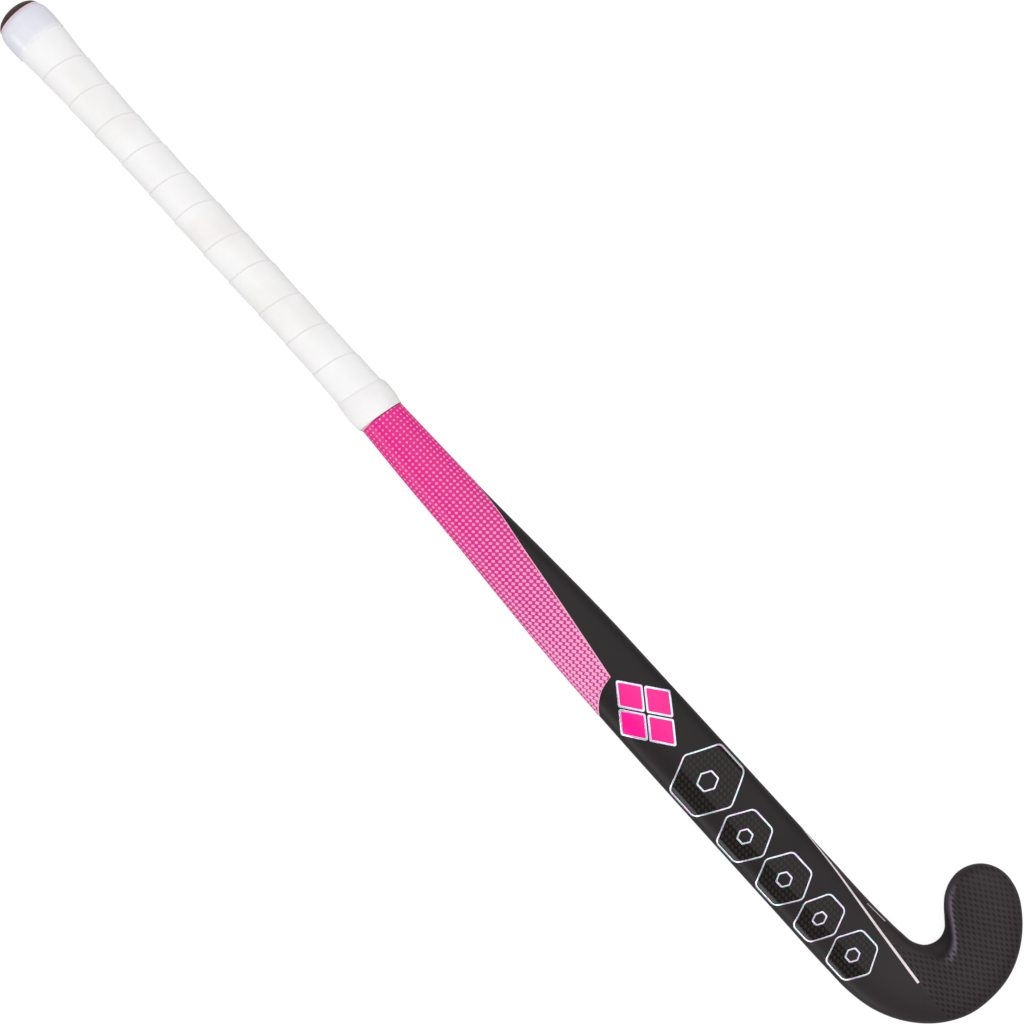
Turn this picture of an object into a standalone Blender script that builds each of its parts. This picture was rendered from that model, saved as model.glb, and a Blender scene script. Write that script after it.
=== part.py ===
"""Field hockey stick, modelled lying on its flat playing face.

The stick runs along +X from the butt to the head, the toe of the hook points
along +Y and the rounded back faces +Z.  It is drawn in millimetres in a
drafting frame with x = 0 at the tip of the end cap and y = 0 on the handle's
centreline, and is then placed with the middle of its footprint at the origin.
"""
import math

import bmesh
import bpy
import numpy as np

MM = 0.001

# ---------------------------------------------------------------- dimensions
CAP_TIP, HEAD_END = 1.3, 927.0   # 925.7 mm in all, for a 36.5 in stick
CAP_DOME = 8.4              # how far the end cap stands out of the handle
SHELL_START = 10.0          # the handle's cut end
GRIP_END = 366.0            # lower end of the grip
GRAPHIC_START = 366.6       # the printed film begins just below the grip
FOAM_START, FOAM_END = 33.0, 92.0
CHAMBER_START, CHAMBER_END = 93.0, 780.0
CORE_START = 784.0
FIT_GAP = 0.3               # clearance between pieces that touch
WEB_THICKNESS = 1.2
BLADDER_FILM, BLADDER_GAP = 0.3, 0.6

# Ribs of the plan outline: the edge on the toe's side and the edge on the back's side.
SHAFT_RIBS = [
    ((10, 15.2), (10, -14.0)), ((13.5, 16.5), (13.5, -15.3)), ((20, 17.1), (20, -15.7)),
    ((30, 16.8), (30, -15.4)), ((60, 15.2), (60, -14.0)), ((92, 14.3), (92, -13.4)),
    ((215, 14.1), (215, -13.6)), ((318, 14.1), (318, -14.2)), ((368, 14.8), (368, -16.3)),
    ((402, 15.4), (402, -18.3)), ((455, 16.6), (455, -20.7)), ((508, 18.8), (508, -23.9)),
    ((561, 20.6), (561, -26.8)), ((627, 20.8), (627, -28.4)), ((700, 20.8), (700, -29.2)),
    ((780, 20.9), (780, -30.0)),
]
HOOK_RIBS = [
    ((838, 21.4), (838, -30.6)), ((853.5, 22.4), (858, -30.2)), ((864.4, 24.1), (880, -25.8)),
    ((871.6, 29.0), (901, -14.6)), ((874.2, 34.6), (916.8, 1.8)), ((874.4, 40.0), (925.3, 20.0)),
    ((872.2, 45.2), (927.0, 38.0)), ((867.0, 50.0), (924.6, 55.0)), ((860.9, 55.0), (917.6, 70.5)),
    ((855.1, 61.3), (908.5, 82.2)), ((851.3, 69.1), (897.5, 91.8)),
]
# The toe's rounded end, from the last rib's inner point to its outer point.
TOE_ARC = [(850.0, 77.2), (851.7, 85.4), (856.2, 92.8), (863.8, 98.3), (872.8, 100.5),
           (881.8, 99.5), (890.2, 96.4)]

# Section profiles along the centreline: (distance from the cap's tip, value).
THICKNESS = [(10, 29.2), (13.5, 31.8), (20, 32.8), (30, 32.2), (60, 29.2), (92, 28.4), (215, 28.4),
             (318, 28.0), (368, 27.2), (455, 25.4), (561, 23.2), (700, 21.4), (838, 20.4),
             (900, 20.2), (970, 19.8), (1040, 19.2)]
FACE_HEIGHT = [(10, 3.7), (13.5, 2.5), (20, 2.1), (30, 2.6), (60, 4.8), (92, 5.9), (215, 8.5),
               (318, 11.0), (455, 15.2), (561, 18.6), (660, 21.4), (720, 20.4), (770, 15.4),
               (815, 7.6), (850, 1.6), (872, 0), (1100, 0)]
EDGE_RATIO = [(10, 0.5), (215, 0.5), (455, 0.46), (700, 0.42), (1040, 0.43)]
CORNER_RATIO = [(10, 1.0), (215, 1.0), (368, 0.9), (508, 0.55), (627, 0.34), (838, 0.29),
                (1040, 0.29)]
DOME_POWER = [(10, 2.0), (215, 2.0), (508, 2.15), (838, 2.25), (1040, 2.3)]
WALL = [(10, 2.4), (400, 2.4), (700, 3.0), (838, 4.0), (1040, 4.5)]

# Mesh density of the lofted pieces.
SHAFT_STEPS = 2
DOME_STEPS, CORNER_STEPS, FLAT_STEPS = 12, 3, 2

# Printed films and foils on the rounded back, in the drafting frame.
FILM = 0.2
FILM_EDGE = [(441.5, 16.2), (463.0, 14.6), (494.0, 10.0), (531.5, 4.7), (594.4, -4.9)]
# The film's end is hollowed round the emblem: (place along the stick, place across it).
FILM_END = [(594.4, -4.9), (595.2, -9.0), (596.4, -13.5), (598.5, -17.6), (601.3, -21.4),
            (605.0, -25.0), (608.8, -27.6)]
FILM_SEAM = 0.9995          # where the film's two edges meet on the toe's side, 1 being the edge
FILM_COLUMNS = 14
DIAMOND_FOIL, HEXAGON_FOIL = 1.4, 1.2
DIAMOND_CENTRE, DIAMOND_HALF = (627.5, -3.9), (30.5, 22.6)
DIAMOND_SPACE = 0.9
# Hexagon panels: start and end along the stick, lower and upper edge across it.
HEXAGONS = [(664.0, 711.0, -27.6, 19.2), (712.5, 749.5, -28.0, 6.6), (751.0, 789.0, -28.2, 6.4),
            (790.5, 821.5, -28.2, 5.8), (823.0, 857.0, -28.2, 5.0)]
EYE_SCALE = 0.30
# Pinstripes on the toe's side: (distance along the stick, place across it from -1 to 1).
PINSTRIPE = [(757, 0.97), (787, 0.92), (814, 0.78), (843, 0.63), (873, 0.38), (887, 0.06)]
PINSTRIPE_SHORT = [(820.5, 0.91), (839.5, 0.93)]
PINSTRIPE_WIDTH = 1.9


# ------------------------------------------------------------------ surface
def profile(points, at):
    """Monotone cubic curve through (position, value) points."""
    x, y = np.array(points, float).T
    step, slope = np.diff(x), np.diff(y) / np.diff(x)
    tangent = np.zeros(len(x))
    for i in range(1, len(x) - 1):
        if slope[i - 1] * slope[i] > 0:
            w0, w1 = 2 * step[i] + step[i - 1], step[i] + 2 * step[i - 1]
            tangent[i] = (w0 + w1) / (w0 / slope[i - 1] + w1 / slope[i])
    tangent[0], tangent[-1] = slope[0], slope[-1]
    at = np.clip(at, x[0], x[-1])
    i = np.clip(np.searchsorted(x, at, side="right") - 1, 0, len(x) - 2)
    f = (at - x[i]) / step[i]
    rise, settle = f * f * (3 - 2 * f), f * (1 - f)
    return (y[i] + (y[i + 1] - y[i]) * rise
            + step[i] * settle * ((1 - f) * tangent[i] - f * tangent[i + 1]))


RIBS = SHAFT_RIBS + HOOK_RIBS
LAST_RIB = len(RIBS) - 1
TOE_SPAN = (len(TOE_ARC) + 1) / 2
TIP = LAST_RIB + TOE_SPAN
OUTLINE = np.array([a for a, b in RIBS] + TOE_ARC + [b for a, b in RIBS[::-1]], float)


def outline_tangents():
    """Direction of the outline at each of its points, scaled to run per millimetre."""
    chord = np.linalg.norm(np.diff(OUTLINE, axis=0), axis=1)
    tangent = np.zeros_like(OUTLINE)
    for i in range(1, len(OUTLINE) - 1):
        before, after = chord[i - 1], chord[i]
        tangent[i] = ((OUTLINE[i + 1] - OUTLINE[i]) / after * before
                      + (OUTLINE[i] - OUTLINE[i - 1]) / before * after) / (before + after)
    tangent[0], tangent[-1] = (1, 0), (-1, 0)
    return chord, tangent


CHORD, TANGENT = outline_tangents()


def outline(t):
    """Point and outward normal of the plan outline at parameter t, one unit per drawn point."""
    i = int(min(max(math.floor(t), 0), len(OUTLINE) - 2))
    f = t - i
    p0, p1 = OUTLINE[i], OUTLINE[i + 1]
    m0, m1 = CHORD[i] * TANGENT[i], CHORD[i] * TANGENT[i + 1]
    point = ((2 * f**3 - 3 * f**2 + 1) * p0 + (f**3 - 2 * f**2 + f) * m0
             + (3 * f**2 - 2 * f**3) * p1 + (f**3 - f**2) * m1)
    along = ((6 * f**2 - 6 * f) * p0 + (3 * f**2 - 4 * f + 1) * m0
             + (6 * f - 6 * f**2) * p1 + (3 * f**2 - 2 * f) * m1)
    along /= np.linalg.norm(along)
    return point, np.array((-along[1], along[0]))


def edges(rib, grow):
    """Toe-side and back-side edge points at a rib, moved outwards by grow."""
    (a, na), (b, nb) = outline(rib), outline(len(OUTLINE) - 1 - rib)
    return a + grow * na, b + grow * nb


RIB_SAMPLES = np.linspace(0, TIP, 2001)


def centre_distances():
    """Length along the centreline at each rib sample, starting at the first rib's x."""
    middles = np.array([sum(edges(r, 0)) / 2 for r in RIB_SAMPLES])
    steps = np.linalg.norm(np.diff(middles, axis=0), axis=1)
    return SHELL_START + np.concatenate(([0], np.cumsum(steps)))


RIB_DISTANCE = centre_distances()


def rib_at(distance):
    return float(np.interp(distance, RIB_DISTANCE, RIB_SAMPLES))


def distance_at(rib):
    return float(np.interp(rib, RIB_SAMPLES, RIB_DISTANCE))


class Section:
    """Cross-section of the stick at one rib, grown outwards by a number of millimetres."""

    def __init__(self, rib, grow=0.0):
        distance = distance_at(rib)
        self.toe_edge, self.back_edge = edges(rib, grow)
        base = edges(min(rib, LAST_RIB), grow)
        half = np.linalg.norm(base[0] - base[1]) / 2
        thickness = profile(THICKNESS, distance)
        self.base_z = profile(FACE_HEIGHT, distance) - grow
        self.edge_z = thickness * profile(EDGE_RATIO, distance) + grow
        self.dome_z = thickness + 2 * grow - self.edge_z
        self.power = profile(DOME_POWER, distance)
        corner = profile(CORNER_RATIO, distance) * (half - grow) + grow
        self.corner = min(1.0, max(corner, 0.05) / half)
        turn = max(rib - LAST_RIB, 0) / TOE_SPAN * math.pi / 2
        self.taper = math.cos(turn)

    def point(self, across, back):
        """Point at across = 1 on the toe's side to -1 on the other, on the back or the face."""
        plan = (self.toe_edge * (1 + across) + self.back_edge * (1 - across)) / 2
        r = min(1.0, math.sqrt((across * self.taper) ** 2 + 1 - self.taper ** 2))
        if back:
            z = self.edge_z + self.dome_z * (1 - r ** self.power) ** (1 / self.power)
        else:
            into = max(r - 1 + self.corner, 0) / self.corner
            z = self.edge_z * (1 - math.sqrt(max(1 - into * into, 0)))
        return plan[0], plan[1], self.base_z + z

    def face_places(self):
        """Places across the face: a rounded corner, the flat, and the other corner."""
        bends = [1 - self.corner + self.corner * math.cos(math.pi / 2 * k / CORNER_STEPS)
                 for k in range(CORNER_STEPS + 1)]
        flat = [(1 - self.corner) * (1 - 2 * k / FLAT_STEPS) for k in range(1, FLAT_STEPS)]
        return [-v for v in bends] + [-v for v in flat] + bends[::-1]

    def ring(self):
        """Closed loop: over the back from the toe's side, then under the face."""
        dome = [math.cos(math.pi * k / DOME_STEPS) for k in range(DOME_STEPS + 1)]
        return ([self.point(v, True) for v in dome]
                + [self.point(v, False) for v in self.face_places()[1:-1]])

    def half_ring(self, side, middle_gap):
        """Loop round one half of the section, with a straight wall beside the middle."""
        half = np.linalg.norm(self.toe_edge - self.back_edge) / 2
        middle = middle_gap / half
        start, flat = math.acos(middle), 1 - self.corner
        dome = [math.cos(start * k / 4) for k in range(5)]
        bend = math.acos(max(middle + 0.05 - flat, 0) / self.corner)
        under = [middle] + [flat + self.corner * math.cos(bend * (1 - k / CORNER_STEPS))
                            for k in range(CORNER_STEPS)]
        return ([self.point(side * v, True) for v in dome]
                + [self.point(side * v, False) for v in under])


def stations(start, end, hook_steps=1):
    """Rib parameters from one distance to another, at even steps between the drawn ribs."""
    low, high = rib_at(start), rib_at(end)
    every = [k / SHAFT_STEPS for k in range(len(SHAFT_RIBS) * SHAFT_STEPS)]
    every += [len(SHAFT_RIBS) + k / hook_steps for k in range(len(HOOK_RIBS + TOE_ARC) * hook_steps)]
    return [low] + [r for r in every if low + 0.05 < r < high - 0.05] + [high]


# ------------------------------------------------------------- mesh building
FOOTPRINT = ((CAP_TIP + HEAD_END) / 2, (OUTLINE[:, 1].min() + OUTLINE[:, 1].max()) / 2)


def place(point):
    """Drafting millimetres to the stick's own frame in metres."""
    x, y, z = point
    return (x - FOOTPRINT[0]) * MM, (y - FOOTPRINT[1]) * MM, z * MM


def collection(name):
    made = bpy.data.collections.new(name)
    bpy.context.scene.collection.children.link(made)
    return made


def material(name, colour, roughness, metallic=0.0):
    made = bpy.data.materials.new(name)
    made.use_nodes = True
    shader = made.node_tree.nodes["Principled BSDF"]
    shader.inputs["Base Color"].default_value = (*colour, 1)
    shader.inputs["Roughness"].default_value = roughness
    shader.inputs["Metallic"].default_value = metallic
    made.diffuse_color = (*colour, 1)
    return made


def finish(name, bm, surface):
    """Turn a bmesh into a named object with outward faces and smooth shading."""
    bmesh.ops.recalc_face_normals(bm, faces=bm.faces)
    mesh = bpy.data.meshes.new(name)
    bm.to_mesh(mesh)
    bm.free()
    mesh.shade_smooth()
    mesh.set_sharp_from_angle(angle=math.radians(40))
    made = bpy.data.objects.new(name, mesh)
    made.data.materials.append(surface)
    STICK.objects.link(made)
    return made


def rows_of_verts(bm, rows):
    return [[bm.verts.new(place(p)) for p in row] for row in rows]


def join_rows(bm, first, second, closed=True):
    """Quads between two rows of vertices."""
    count = len(first)
    for i in range(count if closed else count - 1):
        j = (i + 1) % count
        bm.faces.new((first[i], first[j], second[j], second[i]))


def close_with_point(bm, ring, point):
    tip = bm.verts.new(place(point))
    for i, vert in enumerate(ring):
        bm.faces.new((vert, ring[(i + 1) % len(ring)], tip))


def loft(name, rings, surface):
    """Solid between flat end sections."""
    bm = bmesh.new()
    rows = rows_of_verts(bm, rings)
    for first, second in zip(rows, rows[1:]):
        join_rows(bm, first, second)
    bm.faces.new(rows[0])
    bm.faces.new(rows[-1])
    return finish(name, bm, surface)


def sleeve(name, outer, inner, surface):
    """Tube open at both ends."""
    bm = bmesh.new()
    out_rows, in_rows = rows_of_verts(bm, outer), rows_of_verts(bm, inner)
    for rows in (out_rows, in_rows):
        for first, second in zip(rows, rows[1:]):
            join_rows(bm, first, second)
    join_rows(bm, out_rows[0], in_rows[0])
    join_rows(bm, out_rows[-1], in_rows[-1])
    return finish(name, bm, surface)


def pocket(name, outer, inner, surface, outer_tip=None, inner_tip=None):
    """Hollow body open at its first section and closed at its last."""
    bm = bmesh.new()
    out_rows, in_rows = rows_of_verts(bm, outer), rows_of_verts(bm, inner)
    for rows, tip in ((out_rows, outer_tip), (in_rows, inner_tip)):
        for first, second in zip(rows, rows[1:]):
            join_rows(bm, first, second)
        if tip is None:
            bm.faces.new(rows[-1])
        else:
            close_with_point(bm, rows[-1], tip)
    join_rows(bm, out_rows[0], in_rows[0])
    return finish(name, bm, surface)


def sheet(name, top, bottom, surface, closed=False):
    """Thin film between two grids of points; closed rows make a ring of film."""
    bm = bmesh.new()
    upper, lower = rows_of_verts(bm, top), rows_of_verts(bm, bottom)
    for rows in (upper, lower):
        for first, second in zip(rows, rows[1:]):
            join_rows(bm, first, second, closed)
    join_rows(bm, upper[0], lower[0], closed)
    join_rows(bm, upper[-1], lower[-1], closed)
    if not closed:
        for end in (0, -1):
            join_rows(bm, [r[end] for r in upper], [r[end] for r in lower], False)
    return finish(name, bm, surface)


# -------------------------------------------------------------- the laminate
def cavity(rib, clearance=0.0):
    """Section of the shell's hollow, or of a piece that sits inside it with a clearance."""
    return Section(rib, -profile(WALL, distance_at(rib)) - clearance)


def build_shell(surface):
    """Carbon and glass laminate: hollow, and open only at the butt."""
    outer = stations(SHELL_START, RIB_DISTANCE[-1], 2)[:-1]
    inner = stations(SHELL_START, RIB_DISTANCE[-1])[:-1]
    pocket("composite_shell", [Section(r).ring() for r in outer],
           [cavity(r).ring() for r in inner], surface,
           Section(TIP).point(0, True), cavity(TIP).point(0, True))


def build_head_core(surface):
    """Foam core that fills the hook, moulded in with the laminate."""
    inner = stations(CORE_START, RIB_DISTANCE[-1])[:-1]
    bm = bmesh.new()
    rows = rows_of_verts(bm, [cavity(r, FIT_GAP).ring() for r in inner])
    for first, second in zip(rows, rows[1:]):
        join_rows(bm, first, second)
    bm.faces.new(rows[0])
    close_with_point(bm, rows[-1], cavity(TIP, FIT_GAP).point(0, True))
    finish("head_foam_core", bm, surface)


def build_handle_foam(surface):
    """Foam stopper that keeps water out of the handle and seats the end cap."""
    ribs = stations(FOAM_START, FOAM_END)
    loft("handle_foam_plug", [cavity(r, FIT_GAP).ring() for r in ribs], surface)


def build_web(surface):
    """Centre wall of the laminate, between its two bladders, from face to back."""
    rings = []
    for rib in stations(CHAMBER_START, CHAMBER_END):
        section = cavity(rib, FIT_GAP)
        half = np.linalg.norm(section.toe_edge - section.back_edge) / 2
        v = WEB_THICKNESS / 2 / half
        rings.append([section.point(v, True), section.point(-v, True),
                      section.point(-v, False), section.point(v, False)])
    loft("centre_web", rings, surface)


def build_bladder(name, side, surface):
    """Nylon moulding bladder left in one chamber, closed towards the head."""
    gap = WEB_THICKNESS / 2 + FIT_GAP
    outer = [cavity(r, BLADDER_GAP).half_ring(side, gap)
             for r in stations(CHAMBER_START, CHAMBER_END)]
    inner = [cavity(r, BLADDER_GAP + BLADDER_FILM).half_ring(side, gap + BLADDER_FILM)
             for r in stations(CHAMBER_START, CHAMBER_END - 1)]
    pocket(name, outer, inner, surface)


def build_end_cap(surface):
    """Rubber cap with a domed head and a spigot pressed into the handle."""
    head, spigot, spigot_end = 16.2, 11.3, 32.0
    axis_y = sum(edges(0, 0))[1] / 2
    axis_z = profile(FACE_HEIGHT, SHELL_START) + profile(THICKNESS, SHELL_START) / 2
    dome = [(CAP_TIP + CAP_DOME * (1 - math.cos(a)), head * math.sin(a))
            for a in np.linspace(0, math.pi / 2, 9)]
    turned = dome + [(CAP_TIP + CAP_DOME, spigot), (spigot_end - 1, spigot),
                     (spigot_end, spigot - 1), (spigot_end, 0)]
    mesh = bpy.data.meshes.new("end_cap")
    mesh.from_pydata([(x * MM, 0, r * MM) for x, r in turned],
                     [(i, i + 1) for i in range(len(turned) - 1)], [])
    made = bpy.data.objects.new("end_cap", mesh)
    made.location = place((0, axis_y, axis_z))
    made.data.materials.append(surface)
    screw = made.modifiers.new("turn", "SCREW")
    screw.axis = "X"
    screw.steps = screw.render_steps = 24
    screw.use_merge_vertices = True
    screw.merge_threshold = 0.00001
    screw.use_normal_calculate = True
    screw.use_normal_flip = True
    STICK.objects.link(made)


# ------------------------------------------------------------------ the grip
def build_sleeve(name, start, end, inside, outside, surface):
    ribs = stations(start, end)
    sleeve(name, [Section(r, outside).ring() for r in ribs],
           [Section(r, inside).ring() for r in ribs], surface)


def build_grip(backing, cover, clear_tape, end_tape):
    """Felt-backed polyurethane wrap, held by a tape at each end."""
    build_sleeve("grip_backing", SHELL_START + 0.5, GRIP_END - 0.5, 0.25, 0.65, backing)
    build_sleeve("grip_wrap", SHELL_START, GRIP_END, 0.9, 1.7, cover)
    build_sleeve("top_tape", SHELL_START + 0.1, 31.0, 1.95, 2.1, clear_tape)
    build_sleeve("bottom_tape", GRIP_END - 26.0, GRIP_END + 0.2, 1.95, 2.35, end_tape)


# ---------------------------------------------------------------- the films
def build_pink_film(surface):
    """Printed film round the shaft, cut back along the toe's side and hollowed at its end."""
    (wedge, _), (corner, _) = FILM_EDGE[0], FILM_EDGE[-1]
    places = list(np.linspace(GRAPHIC_START, wedge, 6))
    places += [wedge + (corner - wedge) * (1 - math.cos(math.pi / 2 * k / 12)) for k in range(1, 13)]
    places += [x for x, _ in FILM_END[1:]]
    grids = []
    for lift in (FIT_GAP + FILM, FIT_GAP):
        rows = []
        for x in places:
            section = Section(rib_at(x), lift)
            toe, back = section.toe_edge[1], section.back_edge[1]
            y = profile(FILM_EDGE, x)
            if x > corner:
                y = np.interp(x, *np.array(FILM_END).T)
            seam = math.acos((2 * y - toe - back) / (toe - back) if x > wedge else FILM_SEAM)
            turns = [seam + (math.pi - seam) * k / FILM_COLUMNS for k in range(FILM_COLUMNS + 1)]
            rows.append([section.point(math.cos(turn), True) for turn in turns]
                        + [section.point(math.cos(turn), False) for turn in turns[-2::-1]])
        grids.append(rows)
    sheet("pink_film", grids[0], grids[1], surface)


def on_back(x, y, lift):
    """Point of the straight shaft's back above a drafting position."""
    section = Section(rib_at(x), lift)
    toe, back = section.toe_edge[1], section.back_edge[1]
    return section.point(float(np.clip((2 * y - toe - back) / (toe - back), -1, 1)), True)


def rounded_polygon(corners, radius, side_steps, arc_steps=2):
    """Corner points rounded off with arcs, and the sides between them divided evenly."""
    arcs, count = [], len(corners)
    for i, corner in enumerate(corners):
        corner = np.array(corner, float)
        before = np.array(corners[i - 1], float) - corner
        after = np.array(corners[(i + 1) % count], float) - corner
        before, after = before / np.linalg.norm(before), after / np.linalg.norm(after)
        half_angle = math.acos(float(np.clip(before @ after, -1, 1))) / 2
        reach = radius / math.tan(half_angle)
        middle = before + after
        centre = corner + middle / np.linalg.norm(middle) * radius / math.sin(half_angle)
        chords = [corner + (before * (1 - k / arc_steps) + after * k / arc_steps) * reach - centre
                  for k in range(arc_steps + 1)]
        arcs.append([centre + c / np.linalg.norm(c) * radius for c in chords])
    points = []
    for i, arc in enumerate(arcs):
        side = arcs[(i + 1) % count][0] - arc[-1]
        points += arc + [arc[-1] + side * k / side_steps for k in range(1, side_steps)]
    return np.array(points)


def film_between(name, outer, inner, steps, surface):
    """Ring of film on the back between two outlines of the same number of points."""
    grids = []
    for lift in (FIT_GAP + FILM, FIT_GAP):
        grids.append([[on_back(*(outer[i] * (1 - k / steps) + inner[i] * k / steps), lift)
                       for i in range(len(outer))] for k in range(steps + 1)])
    sheet(name, grids[0], grids[1], surface, closed=True)


def film_patch(name, outer, steps, surface):
    """Filled film on the back inside an outline round its centre."""
    centre = outer.mean(axis=0)
    bm = bmesh.new()
    surfaces = []
    for lift in (FIT_GAP + FILM, FIT_GAP):
        rows = rows_of_verts(bm, [[on_back(*(p * (1 - k / steps) + centre * k / steps), lift)
                                   for p in outer] for k in range(steps)])
        for first, second in zip(rows, rows[1:]):
            join_rows(bm, first, second)
        close_with_point(bm, rows[-1], on_back(*centre, lift))
        surfaces.append(rows[0])
    join_rows(bm, *surfaces)
    finish(name, bm, surface)


def build_diamonds(print_surface, foil):
    """Four printed diamonds, each inside its own foil border."""
    length, height = DIAMOND_HALF[0] / 2, DIAMOND_HALF[1] / 2
    for index, (dx, dy) in enumerate([(-1, 0), (1, 0), (0, 1), (0, -1)], 1):
        centre = np.array(DIAMOND_CENTRE) + (dx * length, dy * height)
        reach = math.hypot(length, height)
        outlines = []
        for inset, radius in ((DIAMOND_SPACE / 2, 1.4), (DIAMOND_SPACE / 2 + DIAMOND_FOIL, 0.8),
                              (DIAMOND_SPACE / 2 + DIAMOND_FOIL + FIT_GAP, 0.7)):
            shrink = 1 - inset * reach / (length * height)
            corners = [centre + shrink * np.array(c) for c in
                       ((length, 0), (0, height), (-length, 0), (0, -height))]
            outlines.append(rounded_polygon(corners, radius, 5))
        film_between(f"diamond_foil_{index}", outlines[0], outlines[1], 1, foil)
        film_patch(f"diamond_print_{index}", outlines[2], 2, print_surface)


def hexagon(panel, inset, radius, side_steps=4):
    """Outline of a rounded hexagon with points along the stick, inset from its panel."""
    start, end, low, high = panel
    centre = np.array(((start + end) / 2, (low + high) / 2))
    half = np.array(((end - start) / 2, (high - low) / 2)) - inset
    shoulder = half[0] * 0.52
    corners = [(half[0], 0), (shoulder, half[1]), (-shoulder, half[1]),
               (-half[0], 0), (-shoulder, -half[1]), (shoulder, -half[1])]
    return rounded_polygon([centre + np.array(c) for c in corners], radius, side_steps)


def build_hexagons(print_surface, foil):
    """Row of gloss carbon hexagons with foil round the outside and round the eye."""
    for index, panel in enumerate(HEXAGONS, 1):
        start, end, low, high = panel
        eye = np.array(((end - start), (high - low))) / 2 * (1 - EYE_SCALE)
        eye_panel = (start + eye[0], end - eye[0], low + eye[1], high - eye[1])
        rim = hexagon(panel, 0, 5.0), hexagon(panel, HEXAGON_FOIL, 3.9)
        body = hexagon(panel, HEXAGON_FOIL + FIT_GAP, 3.6), hexagon(eye_panel, -FIT_GAP, 1.5)
        eye_rim = hexagon(eye_panel, 0, 1.4, 1), hexagon(eye_panel, HEXAGON_FOIL, 0.7, 1)
        film_between(f"hexagon_rim_foil_{index}", *rim, 1, foil)
        film_between(f"hexagon_print_{index}", *body, 3, print_surface)
        film_between(f"hexagon_eye_foil_{index}", *eye_rim, 1, foil)


def build_pinstripe(name, route, foil):
    """Narrow foil line that tapers to a point where it starts."""
    distances = [p[0] for p in route]
    grids = []
    for lift in (FIT_GAP + FILM, FIT_GAP):
        rows = []
        for distance in np.linspace(distances[0], distances[-1], 16):
            section = Section(rib_at(distance), lift)
            half = np.linalg.norm(section.toe_edge - section.back_edge) / 2
            into = (distance - distances[0]) / (distances[-1] - distances[0])
            width = PINSTRIPE_WIDTH * min(1.0, 0.2 + 3 * into)
            middle = profile(route, distance)
            rows.append([section.point(min(middle + f * width / 2 / half, 0.999), True)
                         for f in (-1, 0, 1)])
        grids.append(rows)
    sheet(name, grids[0], grids[1], foil)


# ------------------------------------------------------------------ assembly
for old in list(bpy.data.objects):
    bpy.data.objects.remove(old)
STICK = collection("field_hockey_stick")

build_shell(material("satin_laminate", (0.031, 0.026, 0.027), 0.42))
build_head_core(material("head_foam", (0.55, 0.47, 0.30), 0.9))
build_handle_foam(material("handle_foam", (0.72, 0.66, 0.50), 0.9))
build_web(material("bare_laminate", (0.04, 0.04, 0.045), 0.5))
nylon = material("bladder_nylon", (0.75, 0.78, 0.80), 0.35)
build_bladder("bladder_toe_side", 1, nylon)
build_bladder("bladder_back_side", -1, nylon)
build_end_cap(material("cap_rubber", (0.042, 0.024, 0.022), 0.55))
build_grip(material("grip_felt", (0.62, 0.60, 0.57), 0.95),
           material("grip_cover", (0.86, 0.84, 0.86), 0.55),
           material("clear_film", (0.70, 0.70, 0.86), 0.3),
           material("end_tape", (0.88, 0.87, 0.88), 0.6))
build_pink_film(material("pink_print", (0.80, 0.018, 0.24), 0.4))
foil_finish = material("silver_foil", (0.78, 0.78, 0.88), 0.25, 0.9)
build_diamonds(material("magenta_print", (0.98, 0.02, 0.30), 0.3), foil_finish)
build_hexagons(material("gloss_carbon_print", (0.024, 0.017, 0.014), 0.12), foil_finish)
build_pinstripe("pinstripe", PINSTRIPE, foil_finish)
build_pinstripe("pinstripe_short", PINSTRIPE_SHORT, foil_finish)
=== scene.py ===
"""Looks of a field hockey stick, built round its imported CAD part.

The stick lies on its flat playing face, with the butt towards -X and the toe of the
hook towards +Y.  Shapes are worked out in drafting millimetres, with the end cap's tip
at x = 1.3 and y = 0 near the handle's centreline, and are then placed in the frame.
"""
import math

import bmesh
import bpy
import numpy as np
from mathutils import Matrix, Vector, noise


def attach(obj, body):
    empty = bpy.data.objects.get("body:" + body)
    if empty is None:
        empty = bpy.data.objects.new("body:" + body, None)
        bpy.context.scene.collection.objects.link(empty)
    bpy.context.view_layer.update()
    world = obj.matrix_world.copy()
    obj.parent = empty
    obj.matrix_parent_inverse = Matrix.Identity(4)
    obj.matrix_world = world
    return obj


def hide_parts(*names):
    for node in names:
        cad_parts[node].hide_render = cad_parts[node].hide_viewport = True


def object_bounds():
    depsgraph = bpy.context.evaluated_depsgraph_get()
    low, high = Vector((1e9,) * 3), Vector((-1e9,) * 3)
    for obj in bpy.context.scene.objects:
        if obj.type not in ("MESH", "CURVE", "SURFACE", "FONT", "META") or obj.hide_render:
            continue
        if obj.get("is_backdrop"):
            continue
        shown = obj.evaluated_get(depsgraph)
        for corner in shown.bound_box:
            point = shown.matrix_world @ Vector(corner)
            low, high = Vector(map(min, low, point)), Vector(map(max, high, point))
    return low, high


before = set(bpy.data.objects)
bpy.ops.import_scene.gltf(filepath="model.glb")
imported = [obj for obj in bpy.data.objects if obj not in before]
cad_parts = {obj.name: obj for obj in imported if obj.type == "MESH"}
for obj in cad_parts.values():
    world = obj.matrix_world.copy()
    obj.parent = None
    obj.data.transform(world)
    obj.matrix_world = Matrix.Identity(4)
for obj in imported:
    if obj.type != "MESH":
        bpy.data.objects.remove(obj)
cad_low, cad_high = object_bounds()

# ------------------------------------------------------------------ laminate body
# The stick itself: a hollow moulding of carbon and glass cloth in epoxy, laid up round
# two bladders and a foam head.  It is sprayed satin charcoal, and the back of its hook
# keeps a field of small dimples from the mould, with a soft ridge beside the throat.
# Its colour carries painted shade in the dimples' pits and beside the ridge, and a
# painted highlight along the ridge's crest.
MM = 0.001
CAP_TIP, BUTT, HEAD_START = 1.3, 10.0, 790.0

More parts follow.
